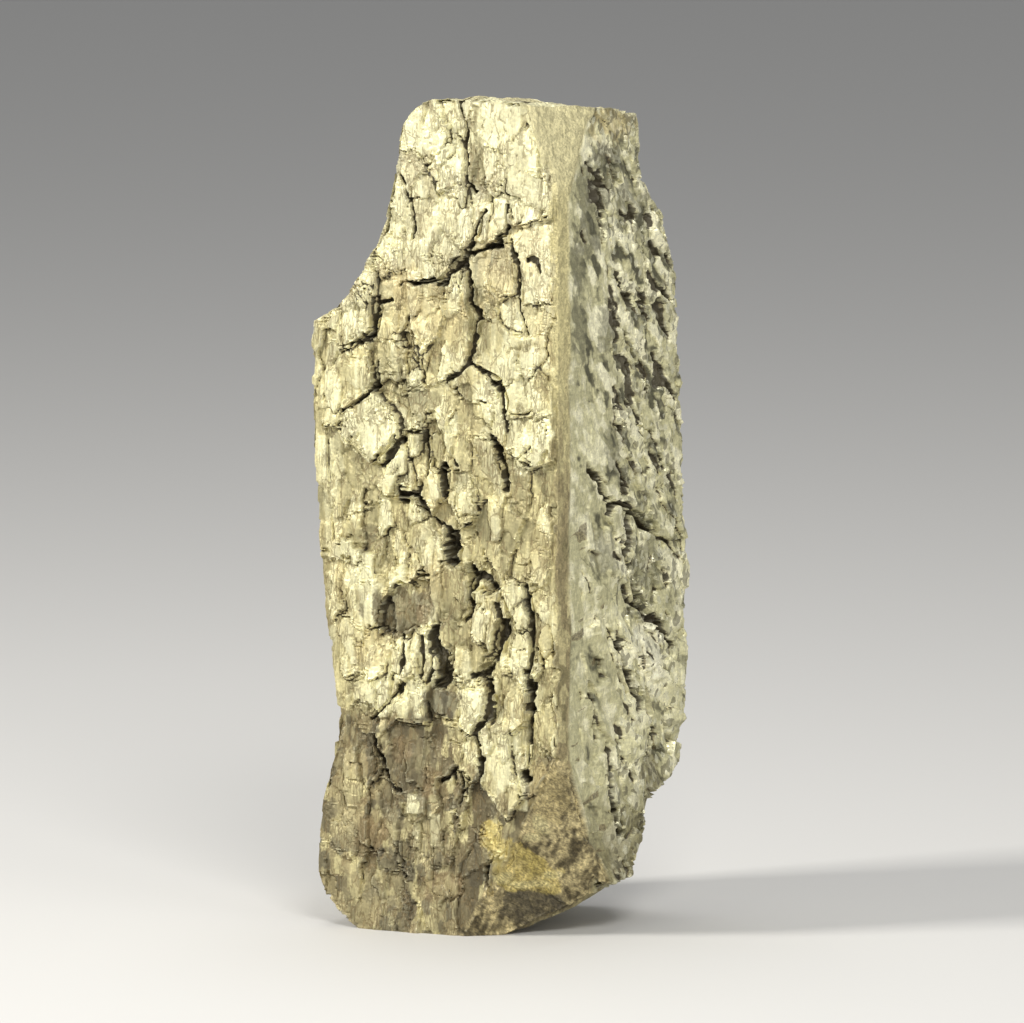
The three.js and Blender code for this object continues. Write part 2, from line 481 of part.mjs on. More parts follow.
function lumpOf([x, y, z, across, deep, up], random) {
  const points = [];
  for (let ring = -1; ring <= 1; ring++)
    for (let i = 0; i < 6; i++) {
      const turn = ((i + 0.5 * ring) / 6) * 2 * Math.PI;
      const wide = (ring ? 0.6 : 1) * (0.85 + 0.3 * random());
      points.push(new THREE.Vector3(x + across * wide * Math.cos(turn), y + deep * wide * Math.sin(turn), z + 0.8 * up * ring));
    }
  return hullOf(points);
}

// ---- The whole crystal ----
function pyriteCrystal() {
  const random = randomFrom(53);
  const crystal = joined([loftOf(BODY_HEIGHTS), frontRelief(), rightRelief(), hiddenRelief()])
    .subtract(breaks())
    .add(joined(lumps.map((lump) => lumpOf(lump, random))))
    .subtract(cracksOf(frontCracks, onFront, random))
    .subtract(cracksOf(rightCracks, onRight, random))
    .subtract(beyond(new THREE.Vector3(0, 0, 0), new THREE.Vector3(0, 0, -1)));
  const mesh = crystal.getMesh();
  const geometry = new THREE.BufferGeometry();
  geometry.setAttribute("position", new THREE.BufferAttribute(new Float32Array(mesh.vertProperties), 3));
  geometry.setIndex(new THREE.BufferAttribute(new Uint32Array(mesh.triVerts), 1));
  geometry.computeBoundingBox();
  const middle = geometry.boundingBox.getCenter(new THREE.Vector3());
  geometry.translate(-middle.x, -middle.y, 0);
  const material = new THREE.MeshStandardMaterial({ color: 0xb9ad7a, roughness: 0.5, metalness: 0.6, flatShading: true });
  const made = new THREE.Mesh(geometry, material);
  made.name = "pyrite_crystal";
  return made;
}

const specimen = new THREE.Group();
specimen.add(pyriteCrystal());
export default specimen;
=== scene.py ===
"""A pyrite specimen in soft studio light.

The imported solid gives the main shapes. Its surface is copied as a fine mesh. The front and the right side are
read off the solid as grids of heights, and what the solid leaves out is worked into those: plates with ragged
ends, bundles of fibres, cracks and facets. The other sides get the same kind of relief along their normals.
Lengths are in millimetres until they are written to a mesh. Places are given from the front's own middle, a
little off the middle of the frame.
"""

import itertools
import math

import bmesh
import bpy
import numpy as np
from mathutils import Matrix, Vector
from mathutils.bvhtree import BVHTree


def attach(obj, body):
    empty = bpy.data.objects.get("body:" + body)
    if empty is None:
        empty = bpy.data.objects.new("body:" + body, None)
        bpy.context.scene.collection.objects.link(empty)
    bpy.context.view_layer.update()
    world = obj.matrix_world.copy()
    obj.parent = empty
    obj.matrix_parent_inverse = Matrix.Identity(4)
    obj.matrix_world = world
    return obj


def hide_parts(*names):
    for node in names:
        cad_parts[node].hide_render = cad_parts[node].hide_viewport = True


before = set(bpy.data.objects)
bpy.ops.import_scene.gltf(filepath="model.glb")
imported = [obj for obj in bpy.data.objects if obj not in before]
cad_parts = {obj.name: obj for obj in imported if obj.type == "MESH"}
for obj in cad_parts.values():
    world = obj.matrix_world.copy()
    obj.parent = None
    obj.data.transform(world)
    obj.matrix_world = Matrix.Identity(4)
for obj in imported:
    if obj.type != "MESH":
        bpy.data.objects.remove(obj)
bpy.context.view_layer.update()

MM = 0.001
NODE = "pyrite_crystal"
VOXEL = 0.29
STEP = 0.25  # between the cells of a grid of heights
PIECES = [
    # name and most triangles
    ("pyrite_front_high", 196_000),
    ("pyrite_front_low", 196_000),
    ("pyrite_right_high", 160_000),
    ("pyrite_right_low", 160_000),
    ("pyrite_back_high", 136_000),
    ("pyrite_back_low", 136_000),
]
MIDDLE = 82.0  # the height that parts the high pieces from the low ones
SHIFT = np.array([0.53, 0.8, 0.0])  # from the frame's middle to the middle that places are given from
FRONT = -24.0  # where the ground of the front is in Y
RIGHT = 28.2  # and the right side in X
FOOT_SPOT = np.array([28.4, -26.0, 38.0])  # a point of the broken corner at the foot
FOOT_NORMAL = np.array([0.625, -0.68, -0.386])
SHOULDER_SPOT = np.array([21.0, -25.8, 167.6])  # a point of the facet at the ridge's top
SHOULDER_NORMAL = np.array([0.82, -0.49, 0.29])
WELD = 0.002  # vertices nearer to each other than this are one
RAY_START = 60.0  # how far out the rays begin that read the solid's heights
NO_HEIGHT = -9.0  # the height where a ray meets nothing
LOWEST = -4.5  # how deep a crack may go below the ground of its side
FRONT_HIGHEST = 5.0
RIGHT_HIGHEST = 3.3
BROAD_ROUNDS = 24  # how often normals are averaged to get the broad slope of the surface
SHARP_ANGLE = math.radians(38)

# ---- Noise ----

FAR = 99.0  # farther than any crack is wide
PRIMES = (0x8DA6B343, 0xD8163841, 0xCB1AB31F)


def hashed(cells, seed):
    """A repeatable number from 0 to 1 for each row of whole numbers."""
    mixed = np.full(cells.shape[:-1], (seed * 0x9E3779B1) & 0xFFFFFFFF, np.uint32)
    for axis in range(cells.shape[-1]):
        mixed ^= cells[..., axis].astype(np.int32).view(np.uint32) * np.uint32(PRIMES[axis])
        mixed ^= mixed >> 15
        mixed *= np.uint32(0x2C1B3C6D)
        mixed ^= mixed >> 12
        mixed *= np.uint32(0x297A2D39)
        mixed ^= mixed >> 15
    return mixed / 4294967296.0


def noise(*axes, seed, steepness=1.0):
    """Noise from -1 to 1, one cell to a unit. With a steepness over 1 it goes from cell to cell in steps."""
    points = np.stack(axes, axis=-1)
    cell = np.floor(points).astype(np.int32)
    part = np.clip((points - cell - 0.5) * steepness + 0.5, 0, 1)
    part = part * part * (3 - 2 * part)
    total = np.zeros(points.shape[:-1])
    for corner in itertools.product((0, 1), repeat=points.shape[-1]):
        weight = np.prod(np.where(corner, part, 1 - part), axis=-1)
        total += weight * hashed(cell + np.array(corner, np.int32), seed)
    return 2 * total - 1


def layered(*axes, seed, octaves=3):
    """Noise with finer and weaker noise added."""
    total = 0
    for octave in range(octaves):
        total = total + noise(*[axis * 2**octave for axis in axes], seed=seed + octave) / 2**octave
    return total / (2 - 2 ** (1 - octaves))


def strands(u, v, width, length, seed):
    """A number from -1 to 1 for the strand of each point. Strands run up, and end at different heights."""
    column = np.floor((u + 0.35 * width * noise(u / (3 * width), v / (3 * length), seed=seed)) / width)
    start = length * hashed(column.astype(np.int32)[..., None], seed + 1)
    row = np.floor((v + start) / length)
    return 2 * hashed(np.stack([column, row], axis=-1).astype(np.int32), seed + 2) - 1


def cells_of(u, v, seed):
    """Each point's number from 0 to 1 for its cell, distance to the edge, and way from the middle."""
    cell = np.floor(np.stack([u, v], axis=-1)).astype(np.int32)
    nearest = np.full(u.shape, 9.0)
    second = np.full(u.shape, 9.0)
    name = np.zeros(u.shape)
    away = [np.zeros(u.shape), np.zeros(u.shape)]
    for step in itertools.product((-1, 0, 1), repeat=2):
        other = cell + np.array(step, np.int32)
        across = u - other[..., 0] - 0.1 - 0.8 * hashed(other, seed)
        up = v - other[..., 1] - 0.1 - 0.8 * hashed(other, seed + 1)
        gap = np.hypot(across, up)
        closer = gap < nearest
        second = np.where(closer, nearest, np.minimum(second, gap))
        name = np.where(closer, hashed(other, seed + 2), name)
        away = [np.where(closer, across, away[0]), np.where(closer, up, away[1])]
        nearest = np.minimum(nearest, gap)
    return name, second - nearest, away


def facets(u, v, size, slopes, seed):
    """Heights of small flat facets, each tilted its own way. Size and slopes are for across and up."""
    name, _, away = cells_of(u / size[0], v / size[1], seed)
    tilts = [(name * 57.3) % 1 - 0.5, (name * 131.7) % 1 - 0.5]
    tilted = [2 * tilt * slope * side * part for tilt, slope, side, part in zip(tilts, slopes, size, away)]
    return sum(tilted), name


def ragged_ends(u, v, seeds):
    """Places moved so that straight steps get the ragged ends and sides of bundled fibres."""
    lift = 0.8 * strands(u, v, 2.3, 9, seeds[0]) + 0.35 * strands(u, v, 0.9, 5, seeds[1])
    aside = 0.3 * noise(v / 2.4, u / 3, seed=seeds[2], steepness=4)
    aside = aside + 0.5 * noise(v / 4.3, u / 5, seed=seeds[3])
    return u + aside, v + lift, lift


def leaning_plates(u, v, split, seed):
    """Heights of plates that lean their own way, smaller ones where split is 1, and a number for each."""
    patch, _, away = cells_of(u / 3.6, v / 7.4, seed)
    small, _, _ = cells_of(u / 2.2 + 7, v / 4.8, seed + 1)
    leaning = patch - 0.5 + 0.5 * ((patch * 57.3) % 1 - 0.5) * away[0] - 0.35 * away[1]
    leaning = leaning - 0.8 * (away[0] ** 2 + away[1] ** 2)
    return (0.7 + 0.5 * split) * leaning + 0.75 * split * (small - 0.5), patch


def fibres_of(u, v, seed):
    """Low heights of bundles and fibres, and how light they are."""
    bundle = strands(u, v, 1.9, 8, seed)
    fibre = strands(u, v, 0.75, 4.6, seed + 4)
    height = 0.06 * bundle + 0.05 * fibre + 0.15 * noise(u / 5, v / 7, seed=seed + 10)
    return height, 0.06 * bundle + 0.09 * fibre + 0.15


def ramp(values, low, high):
    """0 at low, 1 at high, and smooth between. It falls if low is over high."""
    t = np.clip((values - low) / (high - low), 0, 1)
    return t * t * (3 - 2 * t)


def profile(values, points):
    """Straight stretches through the (value, result) points."""
    return np.interp(values, *zip(*points))


# ---- Grids of heights ----


class Face:
    """One side of the solid as a grid of columns across it and rows up it. Heights are above its ground."""

    def __init__(self, tree, across, up, ray, inward, height_of):
        self.low = (across[0], up[0])
        self.u, self.v = np.meshgrid(np.arange(*across, STEP), np.arange(*up, STEP))
        self.height = np.full(self.u.shape, NO_HEIGHT)
        self.plate = np.zeros(self.u.shape)
        inward = Vector(inward)
        for at in np.ndindex(self.u.shape):
            spot, normal, _, _ = tree.ray_cast(Vector(ray(self.u[at], self.v[at])), inward)
            if spot:
                self.height[at] = height_of(spot)
                self.plate[at] = (311.7 * normal.x + 127.1 * normal.y + 74.7 * normal.z) % 1

    def read(self, grid, u, v):
        """The grid's value at each (u, v), blended between cells."""
        column = np.clip((u - self.low[0]) / STEP, 0, grid.shape[1] - 1.001)
        row = np.clip((v - self.low[1]) / STEP, 0, grid.shape[0] - 1.001)
        c = column.astype(int)
        r = row.astype(int)
        part = column - c
        lower = grid[r, c] * (1 - part) + grid[r, c + 1] * part
        upper = grid[r + 1, c] * (1 - part) + grid[r + 1, c + 1] * part
        return lower + (row - r) * (upper - lower)

    def nearest(self, grid, u, v):
        """The grid's value in the cell that each (u, v) is in."""
        column = np.clip(np.rint((u - self.low[0]) / STEP), 0, grid.shape[1] - 1).astype(int)
        row = np.clip(np.rint((v - self.low[1]) / STEP), 0, grid.shape[0] - 1).astype(int)
        return grid[row, column]


def blurred(grid, radius):
    """The grid averaged over a square of a radius in millimetres, twice over."""
    reach = max(1, round(radius / STEP))
    for axis in (0, 1, 0, 1):
        count = grid.shape[axis]
        padding = [(0, 0), (0, 0)]
        padding[axis] = (reach + 1, reach)
        total = np.cumsum(np.pad(grid, padding, "edge"), axis=axis)
        later = np.take(total, np.arange(2 * reach + 1, count + 2 * reach + 1), axis=axis)
        grid = (later - np.take(total, np.arange(count), axis=axis)) / (2 * reach + 1)
    return grid


def around(grid):
    """The grid and its eight copies that are moved by one cell."""
    rows, columns = grid.shape
    padded = np.pad(grid, 1, "edge")
    return [padded[r : r + rows, c : c + columns] for r in range(3) for c in range(3)]


def sharpened(grid, rounds):
    """The grid with its slopes drawn together into steps."""
    for _ in range(rounds):
        near = around(grid)
        middle = np.mean(near, axis=0)
        raised = np.where(grid > middle + 0.001, np.max(near, axis=0), grid)
        grid = np.where(grid < middle - 0.001, np.min(near, axis=0), raised)
    return grid


def closed(grid, rounds):
    """The grid with its narrow valleys filled."""
    for pick in [np.max] * rounds + [np.min] * rounds:
        grid = pick(around(grid), axis=0)
    return grid


def stepped(grid):
    """How far each point lies below the highest one beside it."""
    return np.max(around(grid), axis=0) - grid


def carved(u, v, cracks, seed):
    """How deep each point of a grid lies in (width, depth, path) cracks that swell and close up."""
    depth = np.zeros(u.shape)
    ragged = 0.6 * noise(u / 0.8, v / 0.8, seed=seed, steepness=2)
    ragged = ragged + 0.5 * noise(u / 2.1, v / 2.1, seed=seed + 1)
    swell = 0.5 + 0.7 * ramp(noise(u / 2.2, v / 3.2, seed=seed + 2), -0.35, 0.5)
    for width, deep, path in cracks:
        low = np.min(path, axis=0) - width - 1
        high = np.max(path, axis=0) + width + 1
        near = np.nonzero((u > low[0]) & (u < high[0]) & (v > low[1]) & (v < high[1]))
        best = np.full(len(near[0]), FAR)
        for (u0, v0), (u1, v1) in zip(path, path[1:]):
            run = (u1 - u0, v1 - v0)
            along = (u[near] - u0) * run[0] + (v[near] - v0) * run[1]
            along = np.clip(along / (run[0] ** 2 + run[1] ** 2), 0, 1)
            gap = np.hypot(u[near] - u0 - along * run[0], v[near] - v0 - along * run[1])
            best = np.minimum(best, gap)
        across = best / (0.5 * width * swell[near]) + 0.55 * ragged[near]
        depth[near] = np.maximum(depth[near], deep * np.sqrt(swell[near]) * (1 - ramp(across, 0.6, 0.9)))
    return depth


# ---- The front: (width, depth, [(x, z), ...]) ----

FRONT_CRACKS = [
    (0.8, 1.4, [(4.2, 168), (5.6, 162), (6.2, 157), (6.4, 152), (8, 150)]),
    (0.9, 1.4, [(-9.6, 152.6), (-8, 150), (-7, 147.6), (-6, 145), (-6.6, 140)]),
    (0.7, 0.8, [(-4.6, 157.6), (-3, 155), (-1, 152), (-0.6, 148.6)]),
    (1.3, 2.2, [(15, 147), (15.3, 141.4), (12.6, 139.4), (9.4, 138.2), (6.4, 137.6)]),
    (1.1, 1.8, [(9.6, 146), (8.6, 142), (6.4, 138), (4.6, 134.8), (1, 131.4), (-5, 130.6), (-9, 130.4)]),
    (2.0, 2.2, [(5.4, 135), (7, 130), (6.6, 127), (8, 124), (7.4, 119.6), (7, 115.4)]),
    (0.9, 1.4, [(16, 140), (17.6, 136), (18.2, 130), (18.2, 126.6), (19.5, 122.4)]),
    (1.0, 1.0, [(19.6, 136.8), (22.4, 136.6), (22.8, 134.6)]),
    (0.9, 1.6, [(-11.4, 127), (-13.8, 126.2), (-14.6, 120.6), (-17, 118.4), (-23, 116)]),
    (0.6, 0.8, [(-11, 118.6), (-8.4, 116.8), (-4.4, 117.4), (-3, 120)]),
    (0.6, 0.8, [(-4, 117.2), (-3.4, 113), (-2.4, 110)]),
    (1.0, 1.7, [(-14.2, 114), (-14, 109.4), (-15.6, 107.6), (-19, 105.4), (-22.6, 103.4)]),
    (0.8, 1.3, [(6.8, 115), (4.6, 112.8), (1, 110.6)]),
    (1.2, 1.8, [(7.4, 115.2), (9.8, 113.6), (13.4, 111.8), (14.8, 108), (15.2, 102.4)]),
    (0.7, 1.0, [(15.4, 105.6), (19, 105.8), (23.2, 107.4)]),
    (1.2, 1.8, [(-7.4, 101), (-3.6, 101), (-2.6, 97), (-3, 92)]),
    (1.6, 2.2, [(-7.6, 99.4), (-9.2, 97.4), (-11, 95), (-13, 93)]),
    (1.9, 2.4, [(-9.4, 88.8), (-7.4, 87.8), (-5, 88.6), (-4.2, 91)]),
    (2.6, 2.8, [(0.8, 94), (1, 87.6)]),
    (1.6, 1.8, [(3.4, 95.4), (3.6, 94.6)]),
    (2.3, 2.8, [(12, 100), (13.8, 97), (14.8, 93), (14.2, 89.8)]),
    (0.7, 0.8, [(21, 99), (17, 96)]),
    (1.4, 2.0, [(-5, 87.2), (-2.4, 84.6), (0.4, 82.4), (2.6, 80.8)]),
    (3.2, 3.2, [(2.4, 80.2), (3, 77.6), (3.4, 75.8)]),
    (0.7, 1.0, [(5, 84.6), (8, 84.8), (7.6, 82.8), (8.2, 81)]),
    (1.5, 2.2, [(7.2, 73), (7.5, 69), (7.2, 65), (5.4, 62.8)]),
    (2.2, 2.0, [(7, 73.6), (10, 72.4), (13, 70.4)]),
    (2.6, 2.4, [(13, 67), (14.4, 62), (13.2, 57.4)]),
    (2.2, 2.2, [(13, 57), (11, 54.8), (9, 53), (7, 52.6)]),
    (2.1, 3.0, [(19.6, 70.6), (20.2, 62), (20.8, 56), (20, 52), (20.2, 45), (20, 40), (19.4, 33)]),
    (2.6, 2.2, [(-1.4, 60), (0, 55.6), (1.6, 51.6)]),
    (2.6, 2.2, [(0.4, 56), (2.4, 51.6), (0, 49.6)]),
    (2.2, 2.2, [(10.6, 52.4), (11.8, 48), (11.6, 44.8)]),
    (1.7, 2.0, [(11.6, 44.8), (9, 42), (7.2, 40.2)]),
    (1.6, 1.8, [(7.4, 40.4), (8.5, 38), (9.4, 36), (9.2, 32)]),
    (1.1, 1.6, [(-8, 50.4), (-9.6, 48), (-12, 45.4), (-15, 43), (-16.4, 41.8)]),
    (1.1, 1.4, [(-15, 39), (-14, 34), (-12, 31), (-9, 28.4)]),
    (0.8, 1.0, [(2.6, 33), (3, 29.6), (6.2, 31.4), (6, 28.6)]),
    (1.4, 2.0, [(10.5, 14), (11, 8), (11.6, 1.6)]),
    (1.2, 1.4, [(-2, 57), (-1.6, 53), (-2.4, 50.6)]),
    (1.3, 1.6, [(0.4, 30.6), (3.6, 33.6), (5, 30), (4.4, 26)]),
    (0.7, 0.8, [(-10.8, 60.6), (-11.4, 55), (-11, 50.8)]),
    (1.0, 1.4, [(-8, 60), (-7.6, 55), (-8.2, 51.6)]),
    (1.2, 1.6, [(-3.8, 60), (-3.4, 55), (-4, 51.4)]),
]

# Small plates that stand out: (x, z, half width, half height, how far out)
FRONT_PLATES = [
    (-5, 26, 2.1, 1.9, 0.8),
    (18, 29, 1.7, 2.8, 0.6),
    (-1, 21, 1.0, 3.2, 0.5),
    (-5.4, 19.6, 0.8, 2.6, 0.5),
]

# Places for colours: (x, z, half width, half height)
FRONT_SPOTS = [
    # colour, how strong it is, and its spots
    ("grey", 0.75, [(8.2, 160, 2.2, 8), (-12, 112, 4, 6), (-6.5, 107, 7, 4), (9.5, 124, 4, 6),
                    (-2, 99, 3, 3)]),
    ("grey", 0.5, [(2.6, 68, 4, 6), (-19, 92, 5, 7), (10, 96, 3, 4), (0, 83, 4, 3)]),
    ("cream", 0.8, [(-5, 162, 6, 6), (2.5, 160, 4, 8), (14.5, 163, 6, 8), (20, 157, 4, 10),
                    (19, 149.5, 6, 6)]),
    ("cream", 0.8, [(-15, 102, 7, 5), (-8.4, 93, 2.4, 5), (3.9, 131, 1.4, 3), (19, 110, 5, 8),
                    (20, 98, 4, 5)]),
    ("cream", 0.6, [(14.6, 37, 3.5, 8), (7, 46, 3, 6), (-6, 48, 3, 3), (-14, 48, 6, 4), (17, 62, 3, 9),
                    (-17, 69, 5, 5)]),
    ("cream", 0.5, [(-11, 141, 5, 6), (3, 144, 5, 6), (12, 109, 3, 8), (-7, 56, 6, 5), (6, 89, 3, 4),
                    (-24.6, 90, 1.5, 40)]),
    ("orange", 0.4, [(20, 140, 4.5, 5), (14, 134, 5, 7), (-10, 131, 4, 3)]),
    ("tan", 0.5, [(-4, 124, 8.5, 7), (-14, 57, 4, 4), (-4, 71, 5, 3)]),
    ("umber", 0.85, [(-8, 64.5, 6.5, 4.5), (-6.4, 34.6, 7, 7)]),
    ("slate", 0.95, [(1, 46.4, 3.7, 3.2), (-7.2, 12, 2, 2.1), (16.4, 5.6, 4.4, 3.4)]),
    ("rust", 0.6, [(-8.6, 36.4, 2.6, 2.6), (-1.4, 30.6, 2.4, 3), (0.8, 9.4, 4.2, 2.8), (-16, 19, 3, 4),
                   (-4, 64, 1.6, 2)]),
    ("slate", 0.8, [(-12.2, 14, 2.3, 2.6)]),
    # The spots at (-16.4, 79.4) and (-17, 76.6) are painted shade of a recess
    ("slate", 0.5, [(-16.4, 79.4, 1.5, 1.9), (-17, 76.6, 1, 1.4), (-11, 61.6, 3, 1.4)]),
    ("plate", 0.9, [(18, 29, 1.7, 2.8), (21.8, 23, 1.2, 2.4), (20, 20.4, 1.4, 0.9)]),
    ("moss", 0.6, [(-16, 7, 6, 5), (-2, 20, 6, 3.6), (-21, 28, 3, 9)]),
    ("sulphur", 0.6, [(16, 12.8, 4.6, 3.2), (14.8, 17.2, 4, 3), (11, 21.4, 2.8, 3.2),
                      (19.8, 11.4, 2.8, 2.8)]),
    ("pale", 0.6, [(13.6, 12, 1.8, 1.2), (17.6, 10.4, 3, 0.8), (21.4, 12.2, 1.4, 0.8), (13.4, 16.4, 1, 1.8)]),
    ("tan", 0.7, [(23.4, 30, 4, 6)]),
]

# ---- The right side: (width, depth, [(y, z), ...]) ----

RIGHT_CRACKS = [
    (2.5, 1.4, [(-16, 156), (-12, 152.4), (-7, 149)]),
    (1.5, 1.4, [(-19, 157), (-17, 153.6)]),
    (1.8, 1.4, [(-18, 141.6), (-16.4, 140)]),
    (1.8, 1.4, [(-11, 144), (-9.4, 141)]),
    (2.2, 2.3, [(6.8, 137), (7.6, 131.6), (8.2, 126.6)]),
    (3.0, 2.5, [(-4, 132), (-1.6, 128.4), (2.4, 125.6)]),
    (1.8, 1.6, [(4.4, 125), (6, 122.6)]),
    (1.6, 1.4, [(11.4, 124), (13, 121.6)]),
    (2.2, 2.3, [(-1.2, 119.4), (1, 116), (3.2, 113.6)]),
    (2.5, 2.5, [(5, 112.4), (6.6, 109.6), (8.6, 107.4)]),
    (1.5, 1.6, [(-3.2, 114.4), (-0.2, 110)]),
    (1.6, 1.6, [(-6, 106.4), (-3.6, 102), (-2, 98.6)]),
    (1.5, 1.6, [(5, 99.4), (7, 98)]),
    (1.8, 1.8, [(9.6, 98.6), (12.6, 94.6), (15.2, 91)]),
    (2.4, 2.8, [(-16, 95), (-12.6, 91.8), (-9, 88), (-7, 85.2), (-4, 86), (0, 85), (4, 82), (9, 79.2),
                (13, 77.4)]),
    (1.8, 2.0, [(13, 77.4), (17, 75), (19, 72)]),
    (2.0, 1.8, [(-3, 90), (-0.4, 87)]),
    (3.0, 2.8, [(-1, 83), (0, 79), (-0.2, 75), (-1, 72)]),
    (4.6, 3.2, [(0.8, 72), (2, 69.6), (2.8, 66)]),
    (3.4, 3.0, [(3, 66), (5.4, 63.4), (9.6, 61), (12, 59.2), (14.4, 57.6), (17, 54)]),
    (1.0, 1.1, [(-18.4, 74), (-16.4, 71.6), (-15.6, 69.6)]),
    (1.0, 1.0, [(6.2, 55), (5.4, 53), (5, 50.6)]),
    (3.2, 2.9, [(-4.2, 57), (-2.2, 52.4), (1, 48), (3.2, 44.4)]),
    (3.6, 3.2, [(7.8, 46), (9.4, 41), (10, 35.4)]),
    (2.6, 2.4, [(-14.2, 48.4), (-13.4, 44), (-12.4, 39.6)]),
    (3.2, 2.8, [(-9.2, 37.6), (-8, 34), (-6.2, 27.4), (-4, 22), (-1, 18.4)]),
]

# As for the front, from (y, z)
RIGHT_PLATES = [
    (7, 56.4, 5.6, 3.8, 0.8),
    (1.6, 40, 4, 6, 0.7),
    (18.6, 47, 3.6, 8, 0.7),
    (12, 51, 2.6, 2.6, 0.6),
]

RIGHT_SPOTS = [
    ("shade", 0.75, [(-15, 144, 4, 8), (-20, 135, 3.4, 6), (-9, 153, 5, 6), (-20, 123, 3, 6),
                     (-16, 152, 4, 4)]),
    ("shade", 0.6, [(0, 148, 4, 5), (-9, 122, 3, 5), (6, 143, 3, 5), (-6, 96, 3, 5), (-10, 78, 4, 5),
                    (7, 72, 6, 5)]),
    ("tan", 0.7, [(-5, 163.5, 9, 4)]),
    # The narrow spot at (-12, 161.6) is a painted glint
    ("cream", 1.0, [(-12, 161.6, 0.8, 2), (3, 126, 3, 1.3), (1, 108, 2, 2.4), (3, 97, 2.4, 1.8),
                    (-9, 141.6, 0.8, 2.2)]),
    # Plates near white: their own pale colour, made brighter still as painted highlight
    ("chalk", 0.9, [(7, 56.4, 5.8, 4), (12, 51, 2.8, 2.8)]),
    ("cream", 0.45, [(2, 41, 5.6, 7), (19, 48, 5, 8), (-14, 100, 3, 6), (-4, 62, 3, 5)]),
    ("olive", 0.8, [(9.4, 30, 4.4, 4), (15, 22, 3, 4)]),
]


def front_heights(face):
    """The front's heights with what the solid leaves out, how light it is, and how much painted shade its
    cracks and steps get.
    """
    u, v = face.u, face.v
    warped_u, warped_v, lift = ragged_ends(u, v, (11, 17, 24, 25))
    height = 0.9 * face.nearest(sharpened(closed(face.height, 5), 6), warped_u, warped_v)
    plate = face.nearest(face.plate, warped_u, warped_v)

    leaning, patch = leaning_plates(warped_u, warped_v, ramp(noise(u / 7, v / 10, seed=31), -0.1, 0.3), 29)
    height = height + leaning
    height += plates_at(u, v + 0.3 * lift, FRONT_PLATES)
    seams = ramp(stepped(height), 0.3, 0.6) * ramp(noise(u / 3, v / 4, seed=43), -0.3, 0.3)
    fibrous, shine = fibres_of(u, v, 37)
    height += fibrous - 0.25 * seams
    deep = carved(warped_u, v + 0.7 * lift, FRONT_CRACKS, 59)
    # Raised parts come out lighter and sunken ones darker, as painted shade
    light = 0.42 * plate + 0.28 * patch + shine + 0.12 * (height - 1.2)
    # Painted shade in the cracks and along the steps between plates
    dark = np.maximum(ramp(deep, 0.2, 1.2), 0.7 * seams)
    return np.clip(height - deep, LOWEST, FRONT_HIGHEST), np.clip(light, 0, 1), dark


def plates_at(u, v, plates, lean=0.0):
    """How far small plates stand out. Leaning ones stand out more to the right."""
    out = np.zeros(u.shape)
    for across, up, wide, high, rise in plates:
        far = np.maximum(np.abs((u - across) / wide), np.abs((v - up) / high))
        out = np.maximum(out, (rise + lean * (u - across)) * ramp(far, 1.08, 0.95))
    return out


